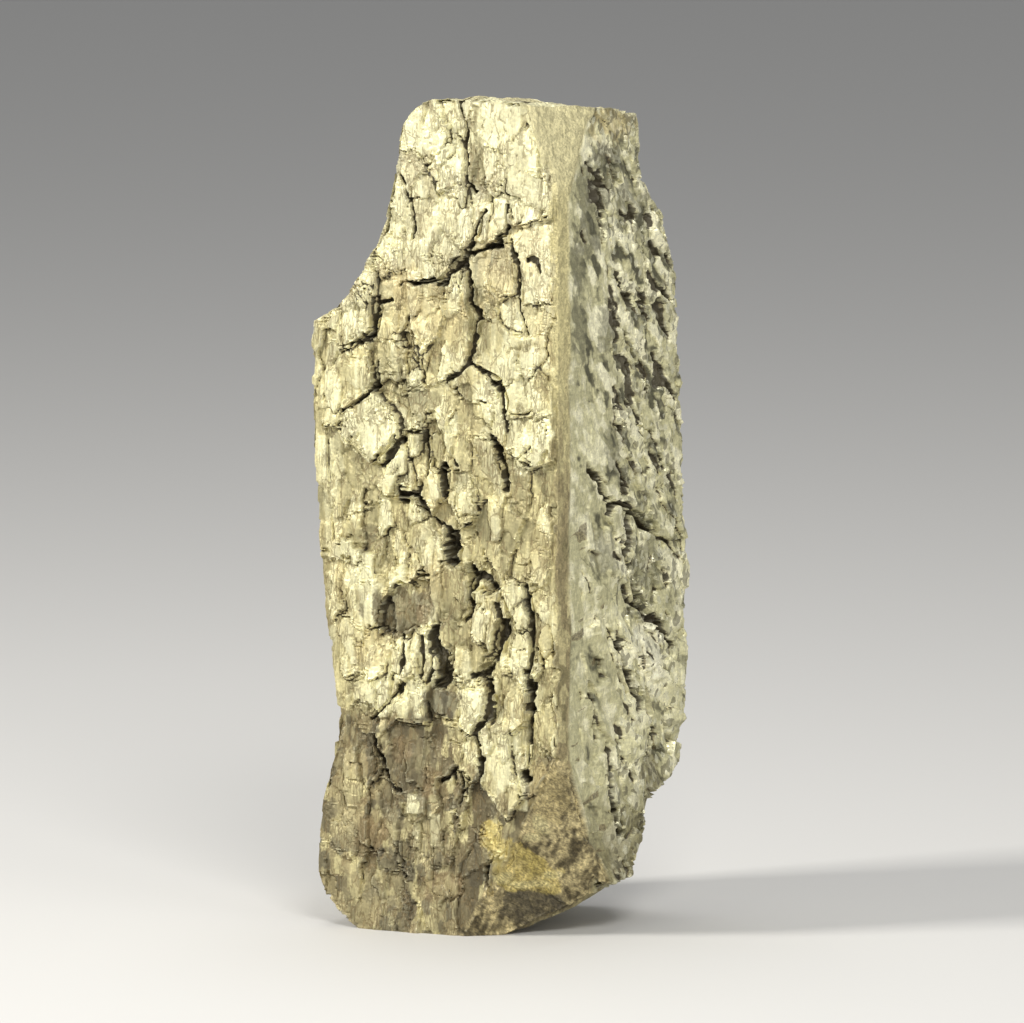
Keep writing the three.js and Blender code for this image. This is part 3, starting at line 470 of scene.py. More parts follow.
def right_heights(face):
    """The same for the right side, smooth but for pits and facets that run down towards the back."""
    u, v = face.u, face.v
    warped_u = u + 0.35 * noise(v / 1.9, u / 2.4, seed=61, steepness=3) + 0.6 * noise(u / 4, v / 4, seed=62)
    warped_v = v + 0.4 * noise(u / 1.9, v / 2.4, seed=63, steepness=3)
    height = 0.8 * face.nearest(sharpened(closed(face.height, 6), 4), warped_u, warped_v)
    height *= ramp(u + 2 * noise(u / 5, v / 9, seed=65), -16, -8)
    rough = rough_share(u, v)
    upper = ramp(v, 82, 94)
    inner = ramp(u, -21, -14)
    down = 0.62 * warped_u - 0.78 * warped_v
    across = 0.78 * warped_u + 0.62 * warped_v
    tilted, name = facets(across, down, (1.9, 4.6), (0.5, 0.16), 71)
    leaning, chunk = facets(across, down, (4.2, 7.0), (0.45, 0.2), 73)
    height = height + np.maximum(rough, 0.35 * upper) * (0.3 + 0.7 * upper) * (tilted + 0.5 * (name - 0.5))
    height += (1 - upper) * (leaning + 1.1 * (chunk - 0.5)) * inner
    seams = ramp(stepped(height), 0.3, 0.6) * ramp(noise(u / 3, v / 4, seed=77), -0.1, 0.4)
    rot = layered(across / 2.2, down / 5.5, seed=79, octaves=4) + 0.22 * upper
    pits = rough * ramp(rot, 0.42, 0.46) * ramp(v, 162, 156)
    lines = noise((v - 0.18 * u) / 0.7 + 0.8 * noise(u / 3, v / 3, seed=81), u / 6, seed=83)
    creased = ramp(noise(u / 3, v / 5, seed=87) - 0.06 * (u + 14), -0.1, 0.2)
    creases = (1 - upper) * ramp(lines, 0.42, 0.56) * creased
    height += 0.1 * lines * ramp(noise(u / 8, v / 14, seed=89) + 0.4 * (1 - upper), -0.4, 0.4) - 0.2 * creases
    height += 0.25 * layered(u / 7, v / 9, seed=97, octaves=3) + 0.8 * ramp(u, 6, 18) - 0.2 * seams
    pit_depth = pits * (1.2 + 0.6 * noise(u / 1.3, v / 1.9, seed=99))
    height += plates_at(warped_u, warped_v, RIGHT_PLATES, 0.16) - pit_depth
    deep = carved(warped_u, warped_v, RIGHT_CRACKS, 101)
    marble = layered(across / 2.8, down / 4.5, seed=103, octaves=5) * (0.4 + 0.6 * np.maximum(upper, inner))
    grain, _, _ = cells_of(across / 0.7, down / 1.2, 105)
    mixed = 0.8 * np.maximum(0.6 * rough, upper * inner) * (name - 0.5)
    light = 0.58 + 0.6 * marble + (0.15 + 0.1 * upper) * (grain - 0.5) + mixed + 0.1 * lines
    light += 0.4 * (1 - upper) * (chunk - 0.5)
    # Painted shade in the pits, cracks, steps and creases
    dark = np.maximum.reduce([pits, ramp(deep, 0.2, 1.0), 0.7 * seams, 0.5 * creases])
    height = np.minimum(height, 1.6 + 0.6 * (height - 1.6))  # what stands out most is drawn in
    return np.clip(height - deep, LOWEST, RIGHT_HIGHEST), np.clip(light, 0, 1), dark


def rough_share(y, z):
    """How rough and pitted the right side is, from 0 along the ridge to 1."""
    start = profile(z, [(86, -7), (134, -8), (150, -19)])
    return ramp(y + 3 * noise(y / 6, z / 12, seed=67) - start, 0, 5)


def shadow_of(grid):
    """How far down each point lies in a hollow, from 0 to 1, as painted shade."""
    return np.maximum(ramp(blurred(grid, 0.8) - grid, 0.45, 1.1), ramp(blurred(grid, 1.8) - grid, 0.9, 2.1))


# ---- Colours ----


def linear(*channels):
    """A colour that looks like these channels, from 0 to 255, as the renderer counts light."""
    return np.array([((c / 255 + 0.055) / 1.055) ** 2.4 for c in channels])


SEEN = {
    "chalk": (252, 248, 220),
    "cream": (240, 235, 192),
    "plate": (204, 194, 145),
    "grey": (160, 152, 113),
    "tan": (192, 176, 126),
    "orange": (212, 196, 146),
    "umber": (108, 98, 73),
    "slate": (88, 81, 64),
    "rust": (134, 114, 80),
    "moss": (176, 165, 124),
    "sulphur": (216, 196, 112),
    "pale": (226, 216, 160),
    "ridge": (194, 184, 136),
    "ridge_low": (146, 134, 98),
    "shoulder": (208, 199, 154),
    "side": (204, 199, 157),
    "side_light": (248, 243, 208),
    "shade": (100, 98, 76),
    "olive": (126, 118, 82),
    "foot": (94, 84, 58),
    "foot_light": (214, 198, 148),
    "column": (170, 157, 116),
}
COLOURS = {name: linear(*channels) for name, channels in SEEN.items()}


def blended(colour, share, other):
    """Rows of colours, changed to another one by each row's share of it."""
    return colour + np.asarray(share)[:, None] * (other - colour)


def coats(name, *others):
    """Rows of a named colour, changed in turn by (share, name) of other ones."""
    colour = np.tile(COLOURS[name], (len(others[0][0]), 1))
    for share, other in others:
        colour = blended(colour, share, COLOURS[other])
    return colour


def spotted(colour, u, v, spots, there, lean, seed):
    """Rows of colours with ragged spots of leaning flecks, as far as there allows them, from 0 to 1."""
    fleck, _, _ = cells_of((u + lean * v) / 1.4, (v - lean * u) / 3.2, seed + 5)
    ragged = 0.7 * layered(u / 3, v / 4, seed=seed, octaves=3) + 0.5 * (fleck - 0.5)
    for name, strength, places in spots:
        share = np.zeros(len(u))
        for across, up, wide, high in places:
            far = np.cbrt(np.abs((u - across) / wide) ** 3 + np.abs((v - up) / high) ** 3)
            soft = 0.3 / min(wide, high)
            share = np.maximum(share, ramp(far + ragged * min(1, 0.1 * (wide + high)), 1 + soft, 1 - soft))
        colour = blended(colour, strength * share * there * (0.7 + 0.3 * (fleck * 7.3 % 1)), COLOURS[name])
    return colour


def front_colours(x, z, light):
    colour = coats(
        "plate",
        (ramp(light, 0.5, 0.22), "grey"),
        (ramp(light, 0.45, 0.85), "cream"),
        (0.5 * ramp(layered(x / 8, z / 10, seed=107), 0.2, 0.7), "tan"),
        (0.25 * ramp(z, 110, 150), "chalk"),
    )
    top = profile(x, [(-28, 43), (0, 44.5), (4, 40), (8, 33), (11, 29), (19, 29.5), (22, 37), (27, 38)])
    dull = ramp(top - z + 1.6 * noise(x / 2, z / 3, seed=109), -0.5, 1.2)
    fleck, _, _ = cells_of(x / 1.7 + 0.4 * noise(z / 2, x, seed=113), z / 3.6, 114)
    brown = coats(
        "umber",
        (ramp(light, 0.25, 0.8), "moss"),
        (ramp(-x + 2 * noise(x / 3, z / 5, seed=117), 12, 16) * 0.75, "column"),
        (0.7 * ramp(light, 0.62, 0.9), "plate"),
        (0.85 * ramp(fleck, 0.8, 0.82), "plate"),
        (0.75 * ramp(fleck, 0.24, 0.22), "slate"),
        (0.4 * ramp(layered(x / 4, z / 6, seed=119), 0.1, 0.3), "slate"),
        (0.35 * ramp(fleck, 0.3, 0.31) * ramp(fleck, 0.42, 0.41), "rust"),
        (1.2 * plates_at(x, z, FRONT_PLATES), "cream"),
    )
    return blended(colour, 0.92 * dull, brown)


def right_colours(z, light):
    return coats(
        "side",
        (ramp(light, 0.42, 0.12), "shade"),
        (ramp(light, 0.52, 0.9), "side_light"),
        (0.75 * ramp(z, 34, 14), "olive"),
    )


def ridge_colours(x, y, z):
    flecked = 0.5 * noise(x / 0.9, y / 0.9, z / 4, seed=227) + 0.5 * noise(x / 3, y / 3, z / 9, seed=229)
    streak, _, _ = cells_of(x / 0.9 + 0.4 * noise(z / 2, x, seed=231), z / 4, 232)
    return coats(
        "ridge",
        (ramp(z + 30 * flecked, 118, 84), "ridge_low"),
        (0.6 * ramp(streak, 0.4, 0.36) * ramp(z, 110, 80), "olive"),
        (0.5 * ramp(streak, 0.7, 0.74) * ramp(z, 110, 80), "plate"),
        (ramp(z, 146, 156), "shoulder"),
    )


def broken_colours(x, y, z):
    """The granular breaks, dark at the foot and pale at the top."""
    grains = layered(x / 2.4, y / 2.4, z / 3.6, seed=127, octaves=5)
    share = ramp(grains + 0.5 * noise(x / 0.7, y / 0.7, z / 0.9, seed=129), -0.5, 0.6)
    return coats("foot", (share, "foot_light"), (0.85 * ramp(z, 90, 110), "shoulder"))


# ---- The fine surface ----


def fetched(items, name, width, kind=np.float32):
    """One property of all the items of a mesh, in rows of a width."""
    values = np.zeros(len(items) * width, kind)
    items.foreach_get(name, values)
    return values.reshape(-1, width)


class Surface:
    """The fine mesh's vertices, with the edges and the four-sided faces that join them."""

    def __init__(self, mesh):
        self.points = fetched(mesh.vertices, "co", 3).astype(float) / MM - SHIFT
        self.edges = fetched(mesh.edges, "vertices", 2, np.int32)
        self.faces = fetched(mesh.loops, "vertex_index", 1, np.int32).reshape(-1, 4)
        self.degree = np.bincount(self.edges.ravel(), minlength=len(self.points))
        self.normals = fetched(mesh.vertex_normals, "vector", 3).astype(float)

    def smoothed(self, values, rounds):
        """Each vertex's values averaged with its neighbours', over and over."""
        a, b = self.edges.T
        count = len(self.points)
        result = values.copy()
        for _ in range(rounds):
            for axis in range(values.shape[1]):
                column = result[:, axis]
                total = np.bincount(a, column[b], count) + np.bincount(b, column[a], count)
                result[:, axis] = 0.5 * column + 0.5 * total / self.degree
        return result


def placed(name, data):
    """A new object of this data in the scene."""
    made = bpy.data.objects.new(name, data)
    bpy.context.scene.collection.objects.link(made)
    return made


def apply_modifiers(piece):
    seen = piece.evaluated_get(bpy.context.evaluated_depsgraph_get())
    made = bpy.data.meshes.new_from_object(seen)
    piece.modifiers.clear()
    piece.data = made


def welded_solid():
    """A copy of the CAD solid's mesh with its vertices joined."""
    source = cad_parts[NODE].data.copy()
    welded = bmesh.new()
    welded.from_mesh(source)
    bmesh.ops.remove_doubles(welded, verts=welded.verts, dist=WELD * MM)
    welded.to_mesh(source)
    welded.free()
    return source


def fine_mesh(source):
    """The solid as a mesh of small squares."""
    piece = placed("pyrite_surface", source)
    remesh = piece.modifiers.new("fine", "REMESH")
    remesh.mode = "VOXEL"
    remesh.voxel_size = VOXEL * MM
    apply_modifiers(piece)
    mesh = piece.data
    bpy.data.objects.remove(piece)
    return mesh


def faces_of(source):
    """The front and the right side as grids."""
    points = [Vector(np.array(vertex.co) / MM - SHIFT) for vertex in source.vertices]
    tree = BVHTree.FromPolygons(points, [tuple(face.vertices) for face in source.polygons])
    front = Face(tree, (-31, 29), (0, 170), lambda u, v: (u, -RAY_START, v), (0, 1, 0), lambda p: FRONT - p.y)
    right = Face(tree, (-27, 27), (0, 170), lambda u, v: (RAY_START, u, v), (-1, 0, 0), lambda p: p.x - RIGHT)
    return front, right


def reach_of(face, place):
    """Where a face's relief applies, from 0 to 1: off the breaks and a little in from the edge."""
    spots = np.stack(place(face.u, face.v, face.height), axis=-1)
    ragged = 0.6 * layered(face.u / 3, face.v / 3, seed=199)
    on_corner = (spots - FOOT_SPOT) @ FOOT_NORMAL > -0.8 + ragged
    on_shoulder = (spots - SHOULDER_SPOT) @ SHOULDER_NORMAL > -0.3
    inside = (face.height > -4.4) & ~on_corner & ~on_shoulder
    return ramp(blurred(inside.astype(float), 0.5), 0.5, 0.95)


def rest_relief(points, broad):
    """Heights along the normals for the breaks, ridge, left side and back, and how light they are."""
    x, y, z = points.T
    chips, _ = facets(x - 0.5 * y, z + 0.5 * y, (1.9, 1.3), (0.45, 0.45), 137)
    granular = 0.7 * layered(x / 6, y / 6, z / 6, seed=131, octaves=4) + 0.4 * chips - 0.5
    granular += 0.3 * layered(x / 1.4, y / 1.4, z / 1.4, seed=135, octaves=2)
    ridge = 0.35 * layered(x / 5, y / 5, z / 9, seed=139) + 0.15 * noise(x / 0.8, y / 0.8, z / 1.6, seed=149)
    along = np.where(np.abs(broad[:, 1]) > np.abs(broad[:, 0]), x, y)
    warped_u, warped_v, lift = ragged_ends(along, z, (151, 157, 163, 164))
    slab, _, tilt = cells_of(warped_u / 8.5, warped_v / 19, 165)
    split = ramp(noise(along / 7, z / 10, seed=169), -0.1, 0.3)
    leaning, patch = leaning_plates(warped_u, warped_v, split, 167)
    fibrous, shine = fibres_of(along, z, 173)
    winding = layered(warped_u / 6, (z + 0.7 * lift) / 19, seed=185, octaves=2)
    cracks = ramp(np.abs(winding), 0.07, 0.03) * ramp(noise(along / 6, z / 9, seed=187), -0.2, 0.2)
    plated = 1.5 * (slab - 0.5) - 0.3 * tilt[1] + (0.45 + 0.55 * split) * leaning + fibrous - 1.1 * cracks
    plated = 0.7 * plated - 0.2 + ramp(x, 8, 20)  # a little in on the left and out on the right
    # Sunken parts and cracks come out darker, as painted shade
    light = 0.42 * slab + 0.28 * patch + shine + 0.12 * plated
    breaks, bevel = break_shares(points, broad)
    return granular * breaks + (1 - breaks) * (ridge * bevel + plated * (1 - bevel)), light


def break_shares(points, broad):
    """How much each vertex is on the breaks at the top and the foot, and on the bevel of the ridge."""
    foot = ramp((points - FOOT_SPOT) @ FOOT_NORMAL, -1.4, -0.6)
    breaks = np.clip(foot + ramp(broad[:, 2], 0.55, 0.8), 0, 1)
    shoulder = ramp((points - SHOULDER_SPOT) @ SHOULDER_NORMAL, -1.0, -0.4)
    band = ramp(points[:, 0], 23.6, 24) * ramp(-points[:, 1], 22.2, 22.8)
    bevel = np.maximum.reduce([ramp(broad @ SHOULDER_NORMAL, 0.86, 0.94), shoulder, band])
    return breaks, bevel


def write_attribute(mesh, name, values):
    if values.ndim == 2:
        attribute = mesh.attributes.new(name, "FLOAT_COLOR", "POINT")
        rows = np.concatenate([values, np.ones((len(values), 1))], axis=1)
        attribute.data.foreach_set("color", rows.astype(np.float32).ravel())
    else:
        attribute = mesh.attributes.new(name, "FLOAT", "POINT")
        attribute.data.foreach_set("value", values.astype(np.float32))


def piece_of(points):
    """The number of the piece that each point is in."""
    x, y, z = points.T
    side = np.where(y < profile(x, [(22, -17.5), (25, -22.8)]), 0, np.where(x > 18, 2, 4))
    return side + (z < MIDDLE)


def thin_out(piece, most, joints):
    """Takes triangles out of a piece, but leaves the vertices where it meets another one as they are."""
    triangles = sum(len(face.vertices) - 2 for face in piece.data.polygons)
    if triangles > most:
        group = piece.vertex_groups.new(name="inner")
        group.add(np.flatnonzero(~joints).tolist(), 1.0, "REPLACE")
        fewer = piece.modifiers.new("fewer", "DECIMATE")
        fewer.vertex_group = "inner"
        fewer.ratio = most / triangles
        apply_modifiers(piece)


def parted(points, faces, edges, attributes):
    """The surface as pieces, cut along its edges so that each stays light."""
    middles = points[faces].mean(axis=1)
    part = piece_of(middles)
    uses = np.zeros((len(points), len(PIECES)), bool)
    for corner in faces.T:
        uses[corner, part] = True
    joints = uses.sum(axis=1) > 1
    for _ in range(2):
        touched = joints[edges].any(axis=1)
        joints[edges[touched]] = True
    pieces = []
    for number, (name, most) in enumerate(PIECES):
        kept = np.flatnonzero(uses[:, number])
        places = np.zeros(len(points), np.int32)
        places[kept] = np.arange(len(kept))
        mesh = bpy.data.meshes.new(name)
        mesh.from_pydata((points[kept] + SHIFT) * MM, [], places[faces[part == number]])
        for attribute, values in attributes.items():
            write_attribute(mesh, attribute, values[kept])
        piece = placed(name, mesh)
        thin_out(piece, most, joints[kept])
        piece.data.polygons.foreach_set("use_smooth", [True] * len(piece.data.polygons))
        piece.data.set_sharp_from_angle(angle=SHARP_ANGLE)
        pieces.append(piece)
    return pieces


def make_surface():
    """The whole surface with its relief and colours, as pieces."""
    source = welded_solid()
    front, right = faces_of(source)
    surface = Surface(fine_mesh(source))
    points = surface.points
    x, y, z = points.T
    broad = surface.smoothed(surface.normals, BROAD_ROUNDS)
    broad /= np.linalg.norm(broad, axis=1, keepdims=True) + 1e-9

    front_grid, front_light, front_shade = front_heights(front)
    right_grid, right_light, right_shade = right_heights(right)
    # Painted shade in the grids' hollows, added to the painted shade of their cracks
    front_shade = np.maximum(front_shade, shadow_of(front_grid))
    right_shade = np.maximum(right_shade, shadow_of(right_grid))
    front_reach = reach_of(front, lambda u, v, out: (u, FRONT - out, v))
    ragged = noise(front.v / 3, front.u, seed=211)
    ragged = ragged + 0.6 * noise(front.v / 0.9, front.u, seed=212, steepness=2)
    border = profile(front.v, [(60, 26.8), (110, 25.4)])
    front_reach *= ramp(front.u + 0.9 * ragged - border, 0, -0.4)
    right_reach = reach_of(right, lambda u, v, out: (RIGHT + out, u, v))
    right_reach *= ramp(right.u + 0.6 * noise(right.v / 7, right.u / 9, seed=223), -23.8, -23)
    on_front = ramp(-y, 18.4, 19.6) * front.read(front_reach, x, z) * ramp(-broad[:, 0], 0.92, 0.7)
    on_right = ramp(x, 23.4, 24.6) * right.read(right_reach, y, z) * ramp(broad[:, 1], 0.85, 0.6)
    on_right *= 1 - on_front

    relief, rest_light = rest_relief(points, broad)
    rest = 1 - on_front - on_right
    moved = points + (relief * rest)[:, None] * broad
    moved[:, 1] += on_front * (FRONT - front.read(front_grid, x, z) - points[:, 1])
    moved[:, 0] += on_right * (RIGHT + right.read(right_grid, y, z) - points[:, 0])
    # The top falls a little to the right, and its left corner is rounded
    fall = 2.3 * ramp(z, 140, 166) * ramp(x, 2, 12) * ramp(y, -14, 8)
    moved[:, 2] -= fall + 1.3 * ramp(z, 150, 166) * ramp(x, 0, -12)
    moved[:, 0] += 2.2 * ramp(z, 156, 165) * ramp(x, -6, -13)
    standing = np.stack([ramp(broad[:, 2], -0.9, -0.4)] * 2 + [ramp(z, 0.2, 2.5)], axis=1)
    moved = points + (moved - points) * standing  # what the specimen rests on stays flat
    moved[:, 2] = np.maximum(moved[:, 2], 0)

    surface.points = moved
    near = np.einsum("ij,ij->i", moved - surface.smoothed(moved, 6), broad)
    wide = np.einsum("ij,ij->i", moved - surface.smoothed(moved, 40), broad)
    breaks, bevel = break_shares(points, broad)
    light = np.where(on_front > on_right, front.read(front_light, x, z), rest_light)
    colour = front_colours(x, z, light)
    light = np.where(on_right > 0.1, right.read(right_light, y, z), rest_light)
    facing = ramp(np.maximum(on_right, broad[:, 0] * (1 - on_front)), 0.3, 0.7)
    colour = blended(colour, facing, right_colours(z, light))
    colour = blended(colour, rest * bevel, ridge_colours(x, y, z))
    colour = blended(colour, rest * breaks, broken_colours(x, y, z))
    there = np.clip(on_front + ramp(-y, 8, 12) * rest * breaks, 0, 1)
    colour = spotted(colour, x, z, FRONT_SPOTS, there, 0.0, 191)
    colour = spotted(colour, y, z, RIGHT_SPOTS, on_right, 0.8, 197)
    # Painted shade: the colour darkens in hollows of the mesh and in the grids' cracks, pits and steps
    crevice_shade = np.maximum(ramp(-near, 0.1, 0.5), ramp(-wide, 0.7, 1.8))
    crevice_shade = crevice_shade * (1 - 0.7 * np.maximum(on_front, on_right))
    crevice_shade = np.maximum(crevice_shade, on_front * front.read(front_shade, x, z))
    crevice_shade = np.maximum(crevice_shade, on_right * right.read(right_shade, y, z))
    attributes = {
        "tint": colour,
        "side": ramp(on_right + (1 - on_front) * broad[:, 0], 0.4, 0.9),
        "sand": np.clip(rest * (breaks + bevel), 0, 1),
        "chipped": rest * breaks,
        "pitted": on_right * rough_share(y, z),
        "crevice_shade": crevice_shade,
        # Painted highlight on raised edges
        "edge": ramp(near, 0.06, 0.35),
    }
    return parted(moved, surface.faces, surface.edges, attributes)


# ---- Materials ----


class Nodes:
    """A short way to lay out a material's nodes."""

    def __init__(self, name):
        self.material = bpy.data.materials.new(name)
        self.material.use_nodes = True
        self.tree = self.material.node_tree
        self.shader = self.tree.nodes["Principled BSDF"]

    def node(self, kind, **settings):
        made = self.tree.nodes.new("ShaderNode" + kind)
        for key, value in settings.items():
            setattr(made, key, value)
        return made

    def link(self, value, socket):
        """Puts a number, a colour or another node's output into a socket."""
        if isinstance(value, bpy.types.NodeSocket):
            self.tree.links.new(value, socket)
        else:
            socket.default_value = value

    def math(self, operation, a, b=0.0, c=0.0):
        made = self.node("Math", operation=operation)
        for value, socket in zip((a, b, c), made.inputs):
            self.link(value, socket)
        return made.outputs[0]

    def times(self, a, b):
        return self.math("MULTIPLY", a, b)

    def attribute(self, name, output="Fac"):
        return self.node("Attribute", attribute_name=name).outputs[output]

    def spread(self, value, low, high, to_low=0.0, to_high=1.0):
        made = self.node("MapRange", interpolation_type="SMOOTHSTEP")
        for value_in, socket in zip((value, low, high, to_low, to_high), made.inputs):
            self.link(value_in, socket)
        return made.outputs[0]

    def place(self, cell, seed, turn=0.0, start=None):
        """Coordinates in which a cell of this size is one unit, after a turn about Y."""
        mapping = self.node("Mapping", vector_type="TEXTURE")
        self.link(start or self.node("TexCoord").outputs["Object"], mapping.inputs["Vector"])
        mapping.inputs["Scale"].default_value = [MM * size for size in cell]
        mapping.inputs["Rotation"].default_value = [0, turn, 0]
        mapping.inputs["Location"].default_value = [MM * seed, 2.7 * MM * seed, 5.3 * MM * seed]
        return mapping.outputs[0]

    def texture(self, kind, place, **settings):
        """A texture node with one cell to a unit of its place."""
        made = self.node(kind, **settings)
        self.link(place, made.inputs["Vector"])
        made.inputs["Scale"].default_value = 1.0
        return made

    def noise(self, cell, seed, detail=3.0, turn=0.0):
        made = self.texture("TexNoise", self.place(cell, seed, turn))
        made.inputs["Detail"].default_value = detail
        return made.outputs["Fac"]

    def cells(self, cell, seed, start=None):
        """A number from 0 to 1 for each cell."""
        made = self.texture("TexVoronoi", self.place(cell, seed, start=start))
        return self.first_channel(made.outputs["Color"])

    def gaps(self, cell, seed, start=None):
        """The distance from the edges between cells."""
        place = self.place(cell, seed, start=start)
        return self.texture("TexVoronoi", place, feature="DISTANCE_TO_EDGE").outputs["Distance"]

    def moved(self, across, up):
        """The place on the object, moved by millimetres across and up."""
        offset = self.node("CombineXYZ")
        for value, axis in zip((across, across, up), "XYZ"):
            self.link(self.times(value, MM), offset.inputs[axis])
        total = self.node("VectorMath", operation="ADD")
        self.link(self.node("TexCoord").outputs["Object"], total.inputs[0])
        self.link(offset.outputs[0], total.inputs[1])
        return total.outputs[0]

    def first_channel(self, colour):
        made = self.node("SeparateColor")
        self.link(colour, made.inputs[0])
        return made.outputs[0]

    def mix(self, share, a, b, blend="MIX"):
        made = self.node("Mix", data_type="RGBA", blend_type=blend)
        self.link(share, made.inputs["Factor"])
        for value, socket in ((a, made.inputs[6]), (b, made.inputs[7])):
            self.link((*value, 1) if isinstance(value, tuple) else value, socket)
        return made.outputs[2]

    def choose(self, share, a, b):
        """The number a where share is 0 and b where it is 1."""
        made = self.node("Mix", data_type="FLOAT")
        self.link(share, made.inputs["Factor"])
        self.link(a, made.inputs[2])
        self.link(b, made.inputs[3])
        return made.outputs[0]


PLATE_CELL = (2.9, 2.9, 5.4)
PLATE_SEED = 13.0
# The two colours of painted shade in hollows
WARM_CREVICE_SHADE = (0.2, 0.14, 0.055)
DARK_CREVICE_SHADE = (0.036, 0.028, 0.013)
SPECK = (0.09, 0.08, 0.05)
GLINT = (0.8, 0.78, 0.58)
EDGE_HIGHLIGHT = (0.86, 0.84, 0.6)
BUMP_STRENGTH = 0.72
BUMP_HEIGHT = 0.3
FLOOR_COLOUR = (0.6, 0.59, 0.57, 1)


def pyrite_material():
    nodes = Nodes("pyrite")
    side = nodes.attribute("side")
    sand = nodes.attribute("sand")
    chipped = nodes.attribute("chipped")
    pitted = nodes.attribute("pitted")
    grain = nodes.noise((0.45, 0.45, 0.45), 3.0, 4.0)

    # Plates with ragged ends
    strand = nodes.cells((0.9, 0.9, 7.0), 11.0)
    jog = nodes.cells((6.0, 6.0, 1.4), 12.0)
    bent = nodes.moved(nodes.spread(jog, 0.0, 1.0, -0.22, 0.22), nodes.spread(strand, 0.0, 1.0, -0.7, 0.7))
    plate = nodes.cells(PLATE_CELL, PLATE_SEED, bent)
    plain = nodes.math("SUBTRACT", 1.0, nodes.math("MAXIMUM", nodes.times(side, 0.75), sand))

    # Fibres with gaps between some of them
    fibres = nodes.cells((0.42, 0.8, 3.4), 1.0)
    loose = nodes.spread(nodes.noise((2.6, 2.6, 5.0), 18.0, 2.0), 0.48, 0.58)
    gap = nodes.spread(nodes.gaps((0.6, 0.9, 3.6), 17.0), 0.04, 0.1, 1.0, 0.0)
    gap = nodes.times(gap, loose)
    gap = nodes.times(gap, plain)
    outlined = nodes.spread(nodes.noise((4.0, 4.0, 7.0), 19.0, 2.0), 0.44, 0.54)
    outline = nodes.spread(nodes.gaps(PLATE_CELL, PLATE_SEED, bent), 0.02, 0.06, 0.8, 0.0)
    outline = nodes.times(outline, outlined)
    gap = nodes.math("MAXIMUM", gap, nodes.times(outline, plain))
    lines = nodes.noise((2.4, 3.0, 0.5), 8.0, 4.0)
    hairs = nodes.noise((2.6, 0.5, 0.34), 5.0, 3.0, turn=0.7)
    detail = nodes.choose(side, nodes.choose(0.5, fibres, nodes.noise((0.3, 1.0, 4.0), 7.0, 3.0)), lines)
    detail = nodes.choose(sand, detail, nodes.choose(nodes.times(chipped, 0.7), grain, hairs))
    shade = nodes.spread(detail, 0.1, 0.9, 0.85, 1.09)
    shade = nodes.times(shade, nodes.spread(grain, 0.3, 0.7, 0.88, 1.08))
    rubble = nodes.spread(nodes.cells((0.45, 0.45, 1.2), 21.0), 0.0, 1.0, 0.76, 1.12)
    flakes = nodes.spread(nodes.cells((0.5, 0.55, 1.1), 22.0), 0.0, 1.0, 0.82, 1.16)
    toned = nodes.choose(plain, nodes.choose(side, 1.0, flakes), nodes.spread(plate, 0.0, 1.0, 0.88, 1.08))
    toned = nodes.choose(sand, toned, rubble)
    hairy = nodes.choose(chipped, 1.0, nodes.spread(hairs, 0.36, 0.62, 0.7, 1.14))
    shade = nodes.times(shade, hairy)
    colour = nodes.mix(1.0, nodes.attribute("tint", "Color"), nodes.times(shade, toned), "MULTIPLY")

    # The pitted part of the right side glints and has dark specks
    chips = nodes.cells((0.7, 0.9, 1.4), 5.0)
    speck = nodes.times(nodes.spread(chips, 0.2, 0.14), pitted)
    bright = nodes.times(nodes.spread(chips, 0.86, 0.9), pitted)
    colour = nodes.mix(nodes.times(speck, 0.6), colour, SPECK)
    colour = nodes.mix(nodes.times(bright, 0.5), colour, GLINT)

    # Painted shade in hollows and in the gaps between fibres and plates: warm brown where shallow, near black
    # where deep
    grained_shade = nodes.math("MULTIPLY_ADD", nodes.math("SUBTRACT", grain, 0.5), 0.3, nodes.attribute("crevice_shade"))
    crevice_shade = nodes.math("MAXIMUM", nodes.spread(grained_shade, 0.3, 0.62), nodes.times(gap, 0.55))
    colour = nodes.mix(nodes.spread(crevice_shade, 0.05, 0.5, 0.0, 0.52), colour, WARM_CREVICE_SHADE)
    colour = nodes.mix(nodes.spread(crevice_shade, 0.42, 1.0, 0.0, 0.92), colour, DARK_CREVICE_SHADE)
    # Painted highlight on raised edges
    colour = nodes.mix(nodes.times(nodes.attribute("edge"), 0.25), colour, EDGE_HIGHLIGHT)
    nodes.link(colour, nodes.shader.inputs["Base Color"])

    metal = nodes.math("MULTIPLY_ADD", bright, 0.2, nodes.spread(crevice_shade, 0.0, 1.0, 0.45, 0.1))
    nodes.link(metal, nodes.shader.inputs["Metallic"])
    rough = nodes.math("SUBTRACT", nodes.spread(grain, 0.3, 0.7, 0.46, 0.62), nodes.times(bright, 0.2))
    nodes.link(rough, nodes.shader.inputs["Roughness"])

    height = nodes.math("MULTIPLY_ADD", grain, 0.5, nodes.times(detail, 0.9))
    height = nodes.math("MULTIPLY_ADD", gap, -0.9, height)
    height = nodes.math("MULTIPLY_ADD", plate, nodes.times(plain, 0.6), height)
    bump = nodes.node("Bump")
    bump.inputs["Strength"].default_value = BUMP_STRENGTH
    bump.inputs["Distance"].default_value = BUMP_HEIGHT * MM
    nodes.link(height, bump.inputs["Height"])
    nodes.link(bump.outputs[0], nodes.shader.inputs["Normal"])
    return nodes.material


def floor_material():
    nodes = Nodes("pale_floor")
    nodes.shader.inputs["Base Color"].default_value = FLOOR_COLOUR
    nodes.shader.inputs["Roughness"].default_value = 0.7
    return nodes.material


# ---- The studio ----

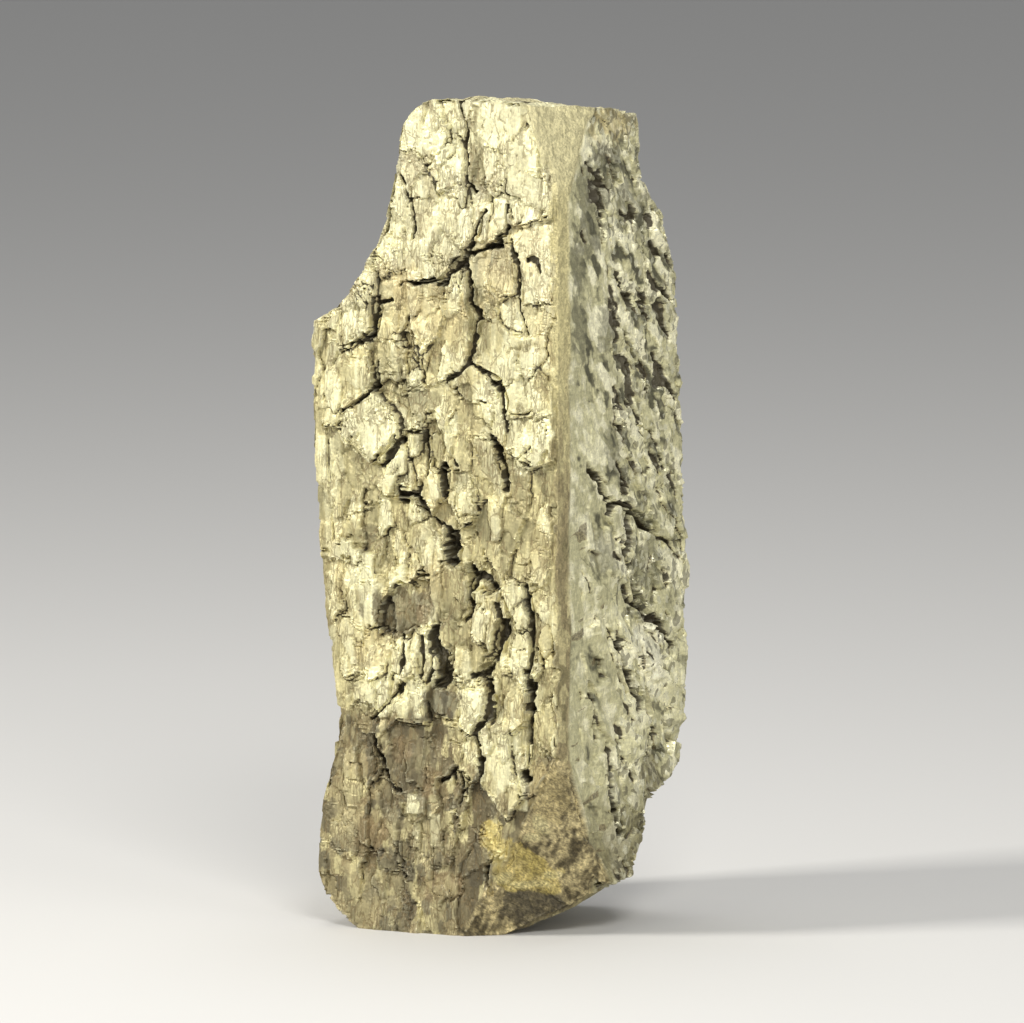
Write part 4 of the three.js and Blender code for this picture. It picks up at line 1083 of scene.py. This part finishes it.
AZIMUTH = math.radians(28)
ELEVATION = math.radians(8)
LENS = 1000.0  # long, so that there is next to no perspective
SENSOR = 36.0
VIEW_WIDTH = 204.8  # how much of the scene's width shows at the specimen
VIEW_CENTRE = (3.24, 81.2)  # what is in the picture's middle, across and up from the origin

SPECIMEN_MIDDLE = Vector((0, 0, 0.085))
FLOOR_REACH = 6.0
WORLD_COLOUR = (0.9, 0.92, 0.95, 1)
WORLD_STRENGTH = 0.3
LIGHTS = [
    # name, place, size, power and colour
    ("key", (-0.75, 0.5, 0.34), 0.18, 8.7, (1.0, 0.98, 0.93)),
    ("front", (0.15, 0.5, 0.85), 0.3, 5.5, (1.0, 0.99, 0.96)),
    ("fill", (0.7, 0.2, 0.6), 0.5, 1.7, (1.0, 0.99, 0.96)),
    ("top", (0.0, 0.8, -0.1), 0.5, 2.5, (1, 1, 1)),
]
LEVEL = math.cos(ELEVATION)
BACK = Vector((math.sin(AZIMUTH) * LEVEL, -math.cos(AZIMUTH) * LEVEL, math.sin(ELEVATION)))
ACROSS = Vector((math.cos(AZIMUTH), math.sin(AZIMUTH), 0))
UP = BACK.cross(ACROSS)


def make_camera():
    data = bpy.data.cameras.new("camera")
    data.lens = LENS
    data.sensor_width = SENSOR
    data.clip_start = 0.01
    data.clip_end = 50
    camera = placed("camera", data)
    target = (ACROSS * VIEW_CENTRE[0] + UP * VIEW_CENTRE[1]) * MM
    turn = Matrix((ACROSS, UP, BACK)).transposed().to_4x4()
    camera.matrix_world = Matrix.Translation(target + BACK * (VIEW_WIDTH * MM * LENS / SENSOR)) @ turn
    bpy.context.scene.camera = camera


def make_light(name, place, size, power, colour):
    """A square soft light aimed at the specimen from (across, up, towards the camera), in metres."""
    data = bpy.data.lights.new(name, "AREA")
    data.size = size
    data.energy = power
    data.color = colour
    light = placed(name, data)
    light.location = SPECIMEN_MIDDLE + ACROSS * place[0] + UP * place[1] + BACK * place[2]
    light.rotation_mode = "QUATERNION"
    light.rotation_quaternion = (SPECIMEN_MIDDLE - light.location).to_track_quat("-Z", "Y")
    light.visible_camera = False


def make_studio():
    floor = bpy.data.meshes.new("floor")
    corners = [(FLOOR_REACH * x, FLOOR_REACH * y, 0) for x, y in ((-1, -1), (1, -1), (1, 1), (-1, 1))]
    floor.from_pydata(corners, [], [(0, 1, 2, 3)])
    floor.materials.append(floor_material())
    placed("floor", floor)
    for light in LIGHTS:
        make_light(*light)
    world = bpy.data.worlds.new("studio")
    world.use_nodes = True
    background = world.node_tree.nodes["Background"]
    background.inputs["Color"].default_value = WORLD_COLOUR
    background.inputs["Strength"].default_value = WORLD_STRENGTH
    bpy.context.scene.world = world
    bpy.context.scene.view_settings.view_transform = "Standard"


make_camera()
pieces = make_surface()
pyrite = pyrite_material()
for number, piece in enumerate(pieces):
    piece.data.materials.clear()
    piece.data.materials.append(pyrite)
    if number == 0:
        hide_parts(NODE)
    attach(piece, "root")
make_studio()
